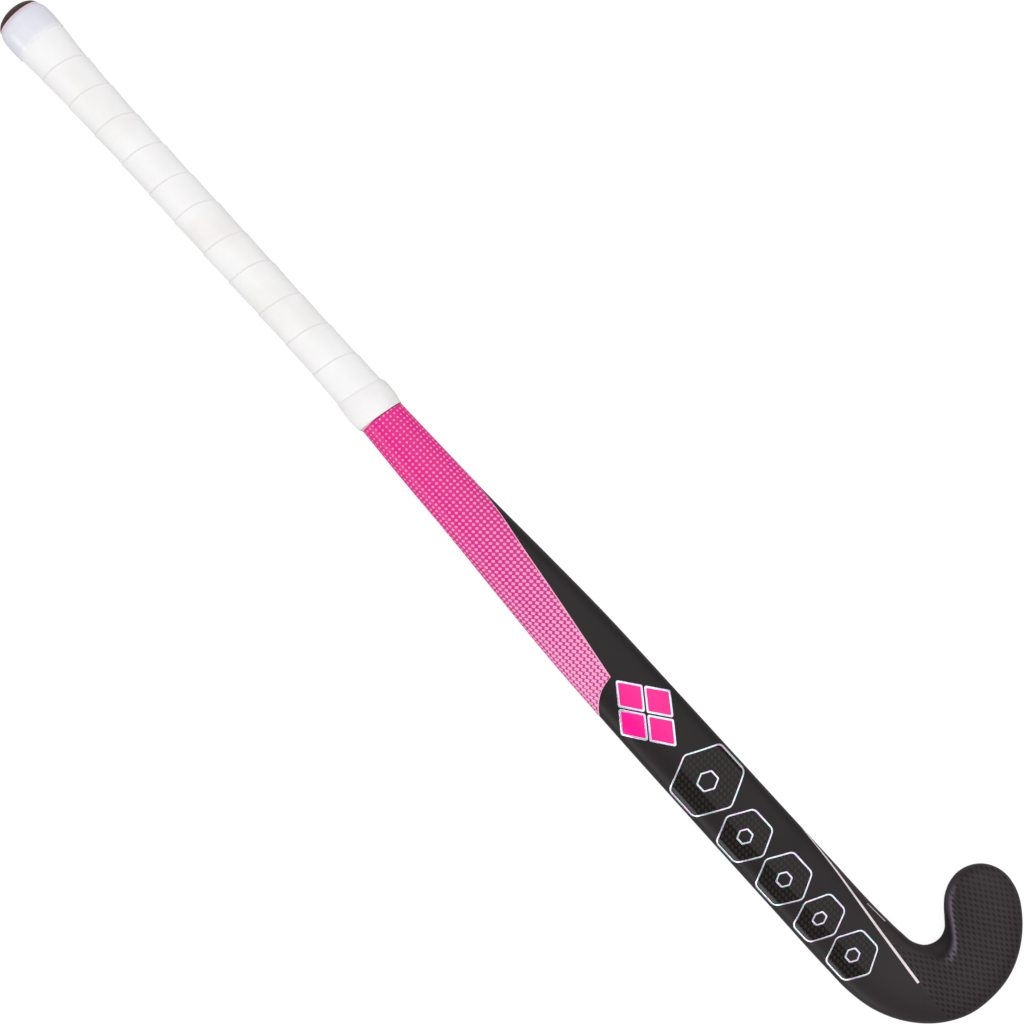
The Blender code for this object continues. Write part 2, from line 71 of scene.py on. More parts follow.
# Ribs of the plan outline: the edge on the toe's side and the edge on the back's side.
SHAFT_RIBS = [(10, 15.2, -14.0), (13.5, 16.5, -15.3), (20, 17.1, -15.7), (30, 16.8, -15.4),
              (60, 15.2, -14.0), (92, 14.3, -13.4), (215, 14.1, -13.6), (318, 14.1, -14.2),
              (368, 14.8, -16.3), (402, 15.4, -18.3), (455, 16.6, -20.7), (508, 18.8, -23.9),
              (561, 20.6, -26.8), (627, 20.8, -28.4), (700, 20.8, -29.2), (780, 20.9, -30.0)]
HOOK_RIBS = [
    ((838, 21.4), (838, -30.6)), ((853.5, 22.4), (858, -30.2)), ((864.4, 24.1), (880, -25.8)),
    ((871.6, 29.0), (901, -14.6)), ((874.2, 34.6), (916.8, 1.8)), ((874.4, 40.0), (925.3, 20.0)),
    ((872.2, 45.2), (927.0, 38.0)), ((867.0, 50.0), (924.6, 55.0)), ((860.9, 55.0), (917.6, 70.5)),
    ((855.1, 61.3), (908.5, 82.2)), ((851.3, 69.1), (897.5, 91.8)),
]
TOE_ARC = [(850.0, 77.2), (851.7, 85.4), (856.2, 92.8), (863.8, 98.3), (872.8, 100.5),
           (881.8, 99.5), (890.2, 96.4)]
# Section profiles along the centreline: (distance from the cap's tip, value).
THICKNESS = [(10, 29.2), (13.5, 31.8), (20, 32.8), (30, 32.2), (60, 29.2), (92, 28.4), (215, 28.4),
             (318, 28.0), (368, 27.2), (455, 25.4), (561, 23.2), (700, 21.4), (838, 20.4),
             (900, 20.2), (970, 19.8), (1040, 19.2)]
FACE_HEIGHT = [(10, 3.7), (13.5, 2.5), (20, 2.1), (30, 2.6), (60, 4.8), (92, 5.9), (215, 8.5),
               (318, 11.0), (455, 15.2), (561, 18.6), (660, 21.4), (720, 20.4), (770, 15.4),
               (815, 7.6), (850, 1.6), (872, 0), (1100, 0)]
EDGE_RATIO = [(10, 0.5), (215, 0.5), (455, 0.46), (700, 0.42), (1040, 0.43)]
CORNER_RATIO = [(10, 1.0), (215, 1.0), (368, 0.9), (508, 0.55), (627, 0.34), (838, 0.29),
                (1040, 0.29)]
DOME_POWER = [(10, 2.0), (215, 2.0), (508, 2.15), (838, 2.25), (1040, 2.3)]
WALL = [(10, 2.4), (400, 2.4), (700, 3.0), (838, 4.0), (1040, 4.5)]
# The ridge beside the throat: its place across the hook, and how far the slope is cut back.
RIDGE_PLACE = [(850, 0.96), (876, 0.86), (896, 0.68), (908, 0.56), (914, 0.54), (920, 0.58),
               (926, 0.65), (933, 0.73), (941, 0.79), (953, 0.86), (966, 0.89), (1015, 0.93)]
RIDGE_CUT = [(872, 0), (898, 0.5), (912, 0.95), (945, 1.0), (975, 0.8), (1015, 0.0)]
RIDGE_SOFTNESS = 0.12


def curve(points, at):
    """Monotone cubic curve through (position, value) points."""
    x, y = np.array(points, float).T
    step, slope = np.diff(x), np.diff(y) / np.diff(x)
    tangent = np.zeros(len(x))
    for i in range(1, len(x) - 1):
        if slope[i - 1] * slope[i] > 0:
            w0, w1 = 2 * step[i] + step[i - 1], step[i] + 2 * step[i - 1]
            tangent[i] = (w0 + w1) / (w0 / slope[i - 1] + w1 / slope[i])
    tangent[0], tangent[-1] = slope[0], slope[-1]
    at = np.clip(at, x[0], x[-1])
    i = np.clip(np.searchsorted(x, at, side="right") - 1, 0, len(x) - 2)
    f = (at - x[i]) / step[i]
    rise, settle = f * f * (3 - 2 * f), f * (1 - f)
    return (y[i] + (y[i + 1] - y[i]) * rise
            + step[i] * settle * ((1 - f) * tangent[i] - f * tangent[i + 1]))


def ease(value, low, high):
    """0 below low, 1 above high, and smooth between them."""
    f = np.clip((value - low) / (high - low), 0, 1)
    return f * f * (3 - 2 * f)


RIBS = [((x, toe), (x, back)) for x, toe, back in SHAFT_RIBS] + HOOK_RIBS
LAST_RIB = len(RIBS) - 1
TOE_SPAN = (len(TOE_ARC) + 1) / 2
TIP = LAST_RIB + TOE_SPAN
OUTLINE = np.array([a for a, b in RIBS] + TOE_ARC + [b for a, b in RIBS[::-1]], float)
CHORD = np.linalg.norm(np.diff(OUTLINE, axis=0), axis=1)
FLOW = np.diff(OUTLINE, axis=0) / CHORD[:, None]
TANGENT = np.vstack(((1, 0), (FLOW[1:] * CHORD[:-1, None] + FLOW[:-1] * CHORD[1:, None])
                     / (CHORD[1:] + CHORD[:-1])[:, None], (-1, 0)))
ORIGIN = np.array((CAP_TIP - cad_low.x / MM, (OUTLINE[:, 1].min() + OUTLINE[:, 1].max()) / 2, 0))


def outline(t):
    """Points and outward normals of the plan outline, one unit of t per drawn point."""
    i = np.clip(np.floor(t).astype(int), 0, len(OUTLINE) - 2)
    f = (t - i)[..., None]
    p0, p1, length = OUTLINE[i], OUTLINE[i + 1], CHORD[i][..., None]
    m0, m1 = length * TANGENT[i], length * TANGENT[i + 1]
    point = ((2 * f**3 - 3 * f**2 + 1) * p0 + (f**3 - 2 * f**2 + f) * m0
             + (3 * f**2 - 2 * f**3) * p1 + (f**3 - f**2) * m1)
    along = ((6 * f**2 - 6 * f) * p0 + (3 * f**2 - 4 * f + 1) * m0
             + (6 * f - 6 * f**2) * p1 + (3 * f**2 - 2 * f) * m1)
    along /= np.linalg.norm(along, axis=-1, keepdims=True)
    return point, np.stack((-along[..., 1], along[..., 0]), -1)


def edges(rib, lift):
    """Edge points on the toe's side and on the back's side, moved outwards by lift."""
    (a, na), (b, nb) = outline(rib), outline(len(OUTLINE) - 1 - rib)
    lift = np.asarray(lift, float)[..., None]
    return a + lift * na, b + lift * nb


RIB_GRID = np.linspace(0, TIP, 2001)
MIDDLES = sum(edges(RIB_GRID, 0)) / 2
RIB_DISTANCE = BUTT + np.concatenate(([0], np.cumsum(np.linalg.norm(np.diff(MIDDLES, axis=0), axis=1))))


def rib_at(distance):
    return np.interp(distance, RIB_DISTANCE, RIB_GRID)


def skin(rib, across, lift=0.0, face=False):
    """Points of the stick's surface: across runs from 1 on the toe's side to -1."""
    rib, across, lift = np.broadcast_arrays(*(np.asarray(a, float) for a in (rib, across, lift)))
    distance = np.interp(rib, RIB_GRID, RIB_DISTANCE)
    toe, back = edges(rib, lift)
    plan = (toe * (1 + across[..., None]) + back * (1 - across[..., None])) / 2
    base_toe, base_back = edges(np.minimum(rib, LAST_RIB), lift)
    half = np.linalg.norm(base_toe - base_back, axis=-1) / 2
    thickness = curve(THICKNESS, distance)
    edge = thickness * curve(EDGE_RATIO, distance) + lift
    taper = np.cos(np.maximum(rib - LAST_RIB, 0) / TOE_SPAN * math.pi / 2)
    r = np.minimum(1, np.sqrt((across * taper) ** 2 + 1 - taper**2))
    power = curve(DOME_POWER, distance)
    dome = (1 - r**power) ** (1 / power)
    ridge = curve(RIDGE_PLACE, distance)
    crest = (1 - ridge**power) ** (1 / power)
    slope = crest * np.clip((1 - across) / (1 - ridge), 0, 1) ** 0.85
    dome -= (np.maximum(dome - slope, 0) * curve(RIDGE_CUT, distance)
             * ease(across, ridge - RIDGE_SOFTNESS / 2, ridge + RIDGE_SOFTNESS))
    corner = np.maximum(curve(CORNER_RATIO, distance) * (half - lift) + lift, 0.05) / half
    corner = np.minimum(corner, 1)
    into = np.maximum(r - 1 + corner, 0) / corner
    z = np.where(face, edge * (1 - np.sqrt(np.maximum(1 - into**2, 0))),
                 edge + (thickness + 2 * lift - edge) * dome)
    return np.concatenate((plan, (curve(FACE_HEIGHT, distance) - lift + z)[..., None]), -1)


def even_places(count):
    """Places across a typical dome that lie at even steps round it, from 1 to -1."""
    half, rise, power = 28, 11.5, 2.2
    v = np.cos(np.linspace(0, math.pi, 4001))
    z = rise * (1 - np.abs(v) ** power) ** (1 / power)
    walk = np.concatenate(([0], np.cumsum(np.hypot(np.diff(v) * half, np.diff(z)))))
    return np.interp(np.linspace(0, walk[-1], count), walk, v)


def ring(rib, lift, dome_count, corner_count, flat_count):
    """Loops round the stick, over the back from the toe's side and then under the face."""
    rib = np.asarray(rib, float)[:, None]
    over = even_places(dome_count)[None, :]
    distance = np.interp(rib, RIB_GRID, RIB_DISTANCE)
    corner = np.minimum(curve(CORNER_RATIO, distance), 1)
    bend = np.cos(np.linspace(0, math.pi / 2, corner_count + 1)[1:])[None, :]
    left = -(1 - corner + corner * bend)
    flat = -(1 - corner) * np.linspace(1, -1, flat_count + 1)[None, 1:-1]
    under = np.concatenate((left, flat, -left[:, ::-1]), 1)
    return np.concatenate((skin(rib, over, lift), skin(rib, under, lift, face=True)), 1)


def grid_faces(rows, columns, first=0, closed=True):
    """Quads over a grid of vertices numbered row by row."""
    i, j = np.meshgrid(np.arange(rows - 1), np.arange(columns if closed else columns - 1), indexing="ij")
    a, b = first + i * columns + j, first + i * columns + (j + 1) % columns
    return np.stack((a, b, b + columns, a + columns), -1).reshape(-1, 4).tolist()


def rim_faces(columns, first, second):
    """Quads between two closed loops of vertices."""
    return [(first + a, first + b, second + b, second + a)
            for a, b in zip(range(columns), [*range(1, columns), 0])]


def fan_faces(first, columns, tip):
    """Triangles from a closed loop of vertices to a tip."""
    return [(first + a, first + b, tip) for a, b in zip(range(columns), [*range(1, columns), 0])]


def piece(name, points, faces, surface, replaced, around=None, masks=None, sharp=180):
    """A mesh in the frame that rides on the stick and stands for CAD nodes."""
    mesh = bpy.data.meshes.new(name)
    mesh.from_pydata(((np.asarray(points) - ORIGIN) * MM).tolist(), [], faces)
    bm = bmesh.new()
    bm.from_mesh(mesh)
    bmesh.ops.recalc_face_normals(bm, faces=bm.faces)
    bm.to_mesh(mesh)
    bm.free()
    mesh.shade_smooth()
    mesh.set_sharp_from_angle(angle=math.radians(sharp))
    if around is not None:
        corner = np.empty(len(mesh.loops), np.int32)
        mesh.loops.foreach_get("vertex_index", corner)
        layer = mesh.uv_layers.new(name="along_and_around")
        layer.data.foreach_set("uv", around[corner].astype(np.float32).ravel())
    for mask, values in (masks or {}).items():
        mesh.attributes.new(mask, "FLOAT", "POINT").data.foreach_set("value", values.astype(np.float32))
    made = bpy.data.objects.new(name, mesh)
    bpy.context.scene.collection.objects.link(made)
    mesh.materials.append(surface)
    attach(made, "root")
    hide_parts(*replaced)
    return made


def colour(red, green, blue):
    """Display values from 0 to 255 as the linear colour that a shader takes."""
    parts = [v / 255 for v in (red, green, blue)]
    return (*(v / 12.92 if v <= 0.04045 else ((v + 0.055) / 1.055) ** 2.4 for v in parts), 1)


def node(tree, kind, inputs=(), **settings):
    """A shader node with its settings, and its inputs linked or set."""
    made = tree.nodes.new("ShaderNode" + kind)
    for name, value in settings.items():
        setattr(made, name, value)
    for socket, value in dict(inputs).items():
        if isinstance(value, bpy.types.NodeSocket):
            tree.links.new(value, made.inputs[socket])
        else:
            made.inputs[socket].default_value = value
    return made


def sums(tree, operation, first, second=0.0, third=0.0):
    """Output of a Math node."""
    return node(tree, "Math", {0: first, 1: second, 2: third}, operation=operation).outputs[0]


def mixed(tree, amount, first, second):
    """Colour output of a Mix node."""
    return node(tree, "Mix", {0: amount, 6: first, 7: second}, data_type="RGBA").outputs[2]


def spread(tree, value, low, high, to_low=0.0, to_high=1.0, smooth=True):
    """Output of a Map Range node, held inside its range."""
    kind = "SMOOTHSTEP" if smooth else "LINEAR"
    return node(tree, "MapRange", {0: value, 1: low, 2: high, 3: to_low, 4: to_high},
                interpolation_type=kind).outputs[0]


def frame_place(tree):
    """Position in the frame, in metres."""
    return node(tree, "TexCoord").outputs["Object"]


def frame_axis(tree, axis):
    return node(tree, "SeparateXYZ", {0: frame_place(tree)}).outputs[axis]


def bumped(tree, height, strength, distance=0.0002):
    """Normal output of a Bump node."""
    return node(tree, "Bump", {"Height": height, "Strength": strength, "Distance": distance}).outputs[0]


def mask_value(tree, mask):
    return node(tree, "Attribute", attribute_name=mask).outputs["Fac"]


def finish(name, **constants):
    """A material with its Principled shader, whose sockets take these constants."""
    made = bpy.data.materials.new(name)
    made.use_nodes = True
    shader = made.node_tree.nodes["Principled BSDF"]
    for socket, value in constants.items():
        shader.inputs[socket.replace("_", " ")].default_value = value
    return made, made.node_tree, shader


def set_inputs(tree, shader, **links):
    for socket, source in links.items():
        tree.links.new(source, shader.inputs[socket.replace("_", " ")])


def grain_finish(tree, shader, tone, grain, mask, smooth, rough):
    """Links a colour, the grain's normal and a roughness that follows one of its masks."""
    set_inputs(tree, shader, Base_Color=tone, Normal=grain["Normal"],
               Roughness=spread(tree, grain[mask], 0, 1, smooth, rough))


def effect_group(name, inputs, outputs):
    """An empty node group with float inputs (name: default) and typed outputs."""
    tree = bpy.data.node_groups.new(name, "ShaderNodeTree")
    for socket, default in inputs.items():
        kind = "NodeSocketFloat" if isinstance(default, float) else "NodeSocketVector"
        made = tree.interface.new_socket(socket, in_out="INPUT", socket_type=kind)
        if kind == "NodeSocketFloat":
            made.default_value = default
    for socket, kind in outputs.items():
        tree.interface.new_socket(socket, in_out="OUTPUT", socket_type="NodeSocket" + kind)
    return tree, tree.nodes.new("NodeGroupInput").outputs, tree.nodes.new("NodeGroupOutput")


def use(tree, group, **values):
    """Outputs of a shared effect placed in a material."""
    return node(tree, "Group", values, node_tree=group).outputs


def grain_group():
    """Fine grain in the normal, with slow mottling and hand smudges as values."""
    tree, given, made = effect_group(
        "surface_grain", {"Grain": 1500.0, "Depth": 0.1, "Mottle": 30.0},
        {"Normal": "Vector", "Mottle": "Float", "Smudge": "Float"})
    place = frame_place(tree)
    fine = node(tree, "TexNoise", {"Vector": place, "Scale": given["Grain"], "Detail": 3.0}).outputs[0]
    slow = node(tree, "TexNoise", {"Vector": place, "Scale": given["Mottle"], "Detail": 4.0}).outputs[0]
    wide = sums(tree, "MULTIPLY", given["Mottle"], 0.35)
    smear = node(tree, "TexNoise", {"Vector": place, "Scale": wide, "Detail": 6.0, "Distortion": 1.5})
    tree.links.new(bumped(tree, fine, given["Depth"]), made.inputs["Normal"])
    tree.links.new(spread(tree, slow, 0.3, 0.7), made.inputs["Mottle"])
    tree.links.new(spread(tree, smear.outputs[0], 0.5, 0.72), made.inputs["Smudge"])
    return tree


surface_grain = grain_group()

# The field of dimples in the hook's back, staggered like brickwork.
DIMPLE_PITCH, DIMPLE_ROW = 6.1, 2.25
DIMPLE_LENGTH, DIMPLE_WIDTH, DIMPLE_DEPTH = 4.4, 1.8, 0.30
DIMPLE_LIMIT = [(846, 0.60), (862, 0.72), (888, 0.78), (908, 0.66), (920, 0.62), (933, 0.76),
                (947, 0.84), (965, 0.89), (1040, 0.92)]
PINSTRIPE_ROUTE = [(755.0, 20.7), (786.9, 18.6), (813.8, 15.7), (842.5, 12.5), (869.3, 9.7), (883.8, 8.2)]
TEXTURE_EDGE = [*PINSTRIPE_ROUTE, (894.7, 6.6), (906.2, 5.8), (914, 5.3), (930, 4.6)]


def texture_zone(points):
    """How far the moulded texture shows: on the toe's side of the pinstripe's line."""
    x, y = points[..., 0], points[..., 1]
    line = np.interp(x, *np.array(TEXTURE_EDGE).T)
    return ease(y - line, 0.0, 1.6)


def dimple_depth(points, across, distance):
    """Depth of the dimples from 0 to 1, fading at the zone's borders."""
    x, y = points[..., 0], points[..., 1]
    row = np.floor(y / DIMPLE_ROW)
    a = np.mod(x + row % 2 * DIMPLE_PITCH / 2, DIMPLE_PITCH) - DIMPLE_PITCH / 2
    b = np.mod(y, DIMPLE_ROW) - DIMPLE_ROW / 2
    cup = np.maximum(1 - (2 * a / DIMPLE_LENGTH) ** 2 - (2 * b / DIMPLE_WIDTH) ** 2, 0) ** 0.8
    limit = curve(DIMPLE_LIMIT, distance)
    fade = (ease(distance, 846, 872) * (1 - ease(across, limit - 0.04, limit + 0.06))
            * (1 - ease(-across, 0.9, 0.98)) * (1 - 0.5 * ease(distance, 960, 1010)))
    return cup * fade * texture_zone(points)


DOME, CORNER, FLAT = 124, 12, 12
rows = np.concatenate((
    rib_at(np.concatenate((np.linspace(BUTT, 366, 40)[:-1], np.arange(366, HEAD_START, 3.0)))),
    rib_at(np.linspace(HEAD_START, np.interp(LAST_RIB, RIB_GRID, RIB_DISTANCE), 300)[:-1]),
    np.linspace(LAST_RIB, TIP, 62)[:-1]))
outer = ring(rows, 0.0, DOME, CORNER, FLAT)
across = np.broadcast_to(even_places(DOME), outer[:, :DOME, 0].shape)
back_distance = np.broadcast_to(np.interp(rows, RIB_GRID, RIB_DISTANCE)[:, None], across.shape)
off_crest = across - curve(RIDGE_PLACE, back_distance)
crest_width = np.interp(back_distance, (915, 950), (0.10, 0.05))
depth = dimple_depth(outer[:, :DOME], across, back_distance)
# A painted highlight along the ridge's crest, and painted shade just beside it on the throat's side.
crest = (np.exp(-(off_crest / crest_width) ** 2) * ease(back_distance, 906, 922)
         * (1 - ease(back_distance, 958, 985)))
shade = ((0.9 * np.exp(-((off_crest - 0.12) / 0.09) ** 2) + 0.35 * ease(off_crest, 0.0, 0.3))
         * ease(back_distance, 884, 914) * (1 - 0.8 * ease(back_distance, 938, 962)))
body_masks = {"dimple": depth, "texture_zone": texture_zone(outer[:, :DOME]), "painted_crest_highlight": crest,
              "throat_shade": shade}
# The masks are drawn on the back only, and are 0 on the sides and under the face.
under_columns = ((0, 0), (0, outer.shape[1] - DOME))
body_masks = {mask: np.pad(values, under_columns) for mask, values in body_masks.items()}
around_way = np.roll(outer, -1, 1) - np.roll(outer, 1, 1)
normal = np.cross(np.gradient(outer, axis=0), around_way)
normal /= np.linalg.norm(normal, axis=-1, keepdims=True) + 1e-9
normal *= np.sign(normal[:, DOME // 2, 2])[:, None, None]
outer = outer - normal * (body_masks["dimple"] * DIMPLE_DEPTH)[..., None]

hollow_rows = np.concatenate((rib_at(np.array((BUTT, 20, 40, 92, 215, 318, 400, 508, 627, 700, 780))),
                              np.linspace(len(SHAFT_RIBS), TIP, 27)[:-1]))
wall = curve(WALL, np.interp(hollow_rows, RIB_GRID, RIB_DISTANCE))
hollow = ring(hollow_rows, -wall[:, None], DOME, CORNER, FLAT)
count, columns = len(rows), outer.shape[1]
tips = np.array([skin(TIP, 0.0), skin(TIP, 0.0, -WALL[-1][1])])
points = np.concatenate((outer.reshape(-1, 3), hollow.reshape(-1, 3), tips))
second, total = count * columns, (count + len(hollow_rows)) * columns
faces = grid_faces(count, columns) + grid_faces(len(hollow_rows), columns, second)
faces += fan_faces(second - columns, columns, total)
faces += fan_faces(total - columns, columns, total + 1)
faces += rim_faces(columns, 0, second)

satin, tree, shader = finish("satin_laminate", Specular_IOR_Level=0.22)
grain = use(tree, surface_grain, Grain=2400.0, Depth=0.16, Mottle=26.0)
into_hook = spread(tree, frame_axis(tree, 0), (770 - ORIGIN[0]) * MM, (870 - ORIGIN[0]) * MM)
paint = mixed(tree, grain["Mottle"], colour(29, 24, 25), colour(34, 28, 30))
paint = mixed(tree, into_hook, paint, colour(41, 36, 38))
moulded = mixed(tree, grain["Mottle"], colour(45, 37, 39), colour(51, 43, 45))
# Painted shade beside the ridge, then a pale painted highlight along its crest.
moulded = mixed(tree, mask_value(tree, "throat_shade"), moulded, colour(12, 8, 7))
moulded = mixed(tree, mask_value(tree, "painted_crest_highlight"), moulded, colour(100, 90, 104))
# Painted shade: the colour is darkened inside the dimples' pits.
painted_pit_shade = mixed(tree, mask_value(tree, "dimple"), moulded, colour(9, 7, 8))
tone = mixed(tree, mask_value(tree, "texture_zone"), paint, painted_pit_shade)
grain_finish(tree, shader, tone, grain, "Smudge", 0.42, 0.48)
inside = np.zeros(len(points) - second)
piece("laminate_body", points, faces, satin, ["composite_shell"], sharp=50,
      masks={mask: np.concatenate((values.ravel(), inside)) for mask, values in body_masks.items()})

# --------------------------------------------------------------- inside the shaft
# A carbon web stands between face and back, with the nylon bladders that pressed the
# cloth into the mould left in both chambers.  Foam fills the hook and plugs the handle.
def carbon_weave_group():
    """Two-by-two twill: which tow is on top, and the rounding of the tows."""
    tree, given, made = effect_group("carbon_weave", {"Vector": (), "Tow": 1.6},
                                     {"Tow": "Float", "Height": "Float"})
    parts = node(tree, "SeparateXYZ", {0: given["Vector"]}).outputs
    a, b = (sums(tree, "DIVIDE", parts[i], given["Tow"]) for i in range(2))
    shifted = sums(tree, "ADD", sums(tree, "FLOOR", a), sums(tree, "FLOOR", b))
    over = sums(tree, "LESS_THAN", sums(tree, "FLOORED_MODULO", shifted, 4.0), 1.5)
    round_a = sums(tree, "PINGPONG", a, 0.5)
    round_b = sums(tree, "PINGPONG", b, 0.5)
    height = node(tree, "Mix", {0: over, 2: round_a, 3: round_b}).outputs[0]
    tree.links.new(over, made.inputs["Tow"])
    tree.links.new(height, made.inputs["Height"])
    return tree


def dress(node_name, material):
    """Gives a CAD node that stays as it is a better material."""
    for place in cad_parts[node_name].material_slots:
        place.material = material


carbon_weave = carbon_weave_group()
laminate, tree, shader = finish("bare_laminate", Coat_Weight=0.3, Coat_Roughness=0.15)
spot = node(tree, "VectorMath", {0: frame_place(tree), "Scale": 1 / MM},
            operation="SCALE").outputs[0]
weave = use(tree, carbon_weave, Vector=spot, Tow=1.8)
set_inputs(tree, shader, Base_Color=mixed(tree, weave["Tow"], colour(30, 30, 33), colour(62, 63, 68)),
           Roughness=spread(tree, weave["Tow"], 0, 1, 0.36, 0.5), Normal=bumped(tree, weave["Height"], 0.35))
dress("centre_web", laminate)

nylon, tree, shader = finish("bladder_nylon", IOR=1.53)
grain = use(tree, surface_grain, Grain=500.0, Depth=0.5, Mottle=60.0)
tone = mixed(tree, grain["Mottle"], colour(214, 220, 222), colour(232, 234, 230))
grain_finish(tree, shader, tone, grain, "Smudge", 0.28, 0.5)
dress("bladder_toe_side", nylon)
dress("bladder_back_side", nylon)

foams = (("head_foam_core", "core_foam", colour(196, 178, 138), 1400.0),
         ("handle_foam_plug", "handle_foam", colour(220, 210, 182), 900.0))
for name, label, tone, cells in foams:
    foam, tree, shader = finish(label, Roughness=0.9, Specular_IOR_Level=0.2)
    bubbles = node(tree, "TexVoronoi", {"Vector": frame_place(tree), "Scale": cells, "Randomness": 1.0},
                   feature="SMOOTH_F1").outputs["Distance"]
    # Painted shade: the foam's cells are darker in their hollows.
    painted_pore_shade = [part * 0.55 for part in tone[:3]] + [1]
    set_inputs(tree, shader, Base_Color=mixed(tree, bubbles, painted_pore_shade, tone),
               Normal=bumped(tree, bubbles, 0.7, 0.0005))
    dress(name, foam)

# ------------------------------------------------------------------------ end cap
# A moulded rubber plug that closes the butt: a low dome with a fine lip round its base,
# over a ribbed spigot that is pressed into the handle's foam.
CAP_DOME, CAP_RADIUS, SPIGOT, SPIGOT_END = 8.4, 16.2, 11.3, 32.0
turned = [(CAP_TIP + CAP_DOME * (1 - math.cos(a)), CAP_RADIUS * math.sin(a) ** 0.98)
          for a in np.linspace(0.02, 1.38, 40)]
turned += [(8.3, 16.05), (8.5, 15.8), (8.8, 15.75), (9.0, 16.0), (9.2, 16.2), (9.5, 16.2), (9.68, 16.05)]
turned += [(9.7, SPIGOT + 0.4), (10.2, SPIGOT)]
for x in np.arange(13.0, 30.0, 3.0):
    turned += [(x, SPIGOT), (x + 0.6, SPIGOT - 0.5), (x + 1.5, SPIGOT - 0.5), (x + 2.4, SPIGOT)]
turned += [(SPIGOT_END - 1, SPIGOT - 0.2), (SPIGOT_END, SPIGOT - 1.2)]
turned = np.array(turned)
SPOKES = 96
angle = np.linspace(0, 2 * math.pi, SPOKES, endpoint=False)
cap_middle = sum(edges(np.array(0.0), 0))[1] / 2
cap_height = FACE_HEIGHT[0][1] + THICKNESS[0][1] / 2
shape = np.stack((np.repeat(turned[:, :1], SPOKES, 1),
                  cap_middle + turned[:, 1:] * np.cos(angle), cap_height + turned[:, 1:] * np.sin(angle)), -1)
count = len(turned)
axis_ends = [(x, cap_middle, cap_height) for x in (CAP_TIP, SPIGOT_END)]
points = np.concatenate((shape.reshape(-1, 3), axis_ends))
faces = grid_faces(count, SPOKES) + fan_faces(0, SPOKES, count * SPOKES)
faces += fan_faces((count - 1) * SPOKES, SPOKES, count * SPOKES + 1)
rubber, tree, shader = finish("cap_rubber", Specular_IOR_Level=0.4)
grain = use(tree, surface_grain, Grain=1800.0, Depth=0.35, Mottle=90.0)
tone = mixed(tree, grain["Mottle"], colour(50, 36, 34), colour(66, 50, 47))
tone = mixed(tree, grain["Smudge"], tone, colour(80, 66, 62))
grain_finish(tree, shader, tone, grain, "Smudge", 0.5, 0.68)
piece("butt_cap", points, faces, rubber, ["end_cap"], sharp=35)

# ----------------------------------------------------------------------- the grip
# A felt-backed ribbon of white polyurethane, wound down the handle from the butt with
# each turn lapped over the one before, so its upper edge shows as a fine raised seam.
felt, tree, shader = finish("grip_felt", Roughness=0.95, Sheen_Weight=0.4, Sheen_Roughness=0.6)
grain = use(tree, surface_grain, Grain=2600.0, Depth=0.9, Mottle=300.0)
tone = mixed(tree, grain["Mottle"], colour(196, 192, 186), colour(218, 214, 208))
set_inputs(tree, shader, Base_Color=tone, Normal=grain["Normal"])
dress("grip_backing", felt)

GRIP_START, GRIP_END, PITCH = 12.0, 360.5, 26.8
FIRST_SEAM = 25.6           # where the first seam crosses the crown
LAP_STEP, WRAP_LIFT = 0.55, 1.62
STRIP = [0, 0.008, 0.018, 0.03, 0.045, 0.07, 0.12, 0.2, 0.3, 0.4, 0.5, 0.6, 0.7, 0.8, 0.88, 0.94,
         0.975, 0.992]
LAP_SHAPE = [(0, 0.0), (0.008, 0.75), (0.018, 1.0), (0.03, 0.97), (0.07, 0.82), (0.2, 0.6), (0.5, 0.3),
             (0.8, 0.1), (0.94, 0.03), (0.975, -0.03), (0.992, -0.12), (1.0, 0.0)]
TURNS, SPOKES = 17, 120
phase = np.concatenate([turn + np.array(STRIP) for turn in range(TURNS)])
over = np.cos(np.linspace(0, math.pi, SPOKES // 2 + 1))
across = np.concatenate((over, over[-2:0:-1]))
under = np.arange(SPOKES) > SPOKES // 2
turn_share = np.arange(SPOKES) / SPOKES
start = FIRST_SEAM - 2 * PITCH
advance = curve([(0, 0), (0.25, 0.24), (0.5, 0.37), (0.75, 0.68), (1, 1)], turn_share)
place_x = start + PITCH * (phase[:, None] - advance[None, :] + 0.24)
# A hand-wound ribbon is never even: how far each seam lies from its regular place.
SEAM_SHIFT = [0, 0.9, -1.3, -2.6, -2.6, -2.3, -5.0, -2.5, -4.3, -1.3, -1.6, -1.6, 0]
place_x += np.interp(place_x, FIRST_SEAM + PITCH * np.arange(len(SEAM_SHIFT)), SEAM_SHIFT)
rib = rib_at(np.clip(place_x, BUTT, GRIP_END + 3))
creases = np.array([[noise.noise(Vector((x * 0.05 - turn * 1.6, turn * 9.0, x * 0.012)))
                     for turn in turn_share] for x in place_x[:, 0]])
puckers = np.array([[noise.noise(Vector((x * 0.9, turn * 26.0, 7.7))) for turn in turn_share]
                    for x in place_x[:, 0]])
puckers *= np.exp(-((phase[:, None] % 1) / 0.09))
lap = np.interp(phase % 1, *np.array(LAP_SHAPE).T)[:, None] * LAP_STEP
top_end = 1 - ease(place_x, 30, 60)
lift = WRAP_LIFT + lap - LAP_STEP / 2 + creases * (0.10 + 0.14 * top_end) + puckers * 0.12
shape = skin(rib, across[None, :], lift, face=under[None, :])
shape[..., 0] = place_x
count = len(phase)
i, j = np.meshgrid(np.arange(count - 1), np.arange(SPOKES), indexing="ij")
a, b = i * SPOKES + j, i * SPOKES + j + 1
wrapped = j == SPOKES - 1
b = np.where(wrapped, (i - len(STRIP)) * SPOKES, b)
ok = (~wrapped) | (i >= len(STRIP))
quads = np.stack((a, b, b + SPOKES, a + SPOKES), -1)[ok].tolist()
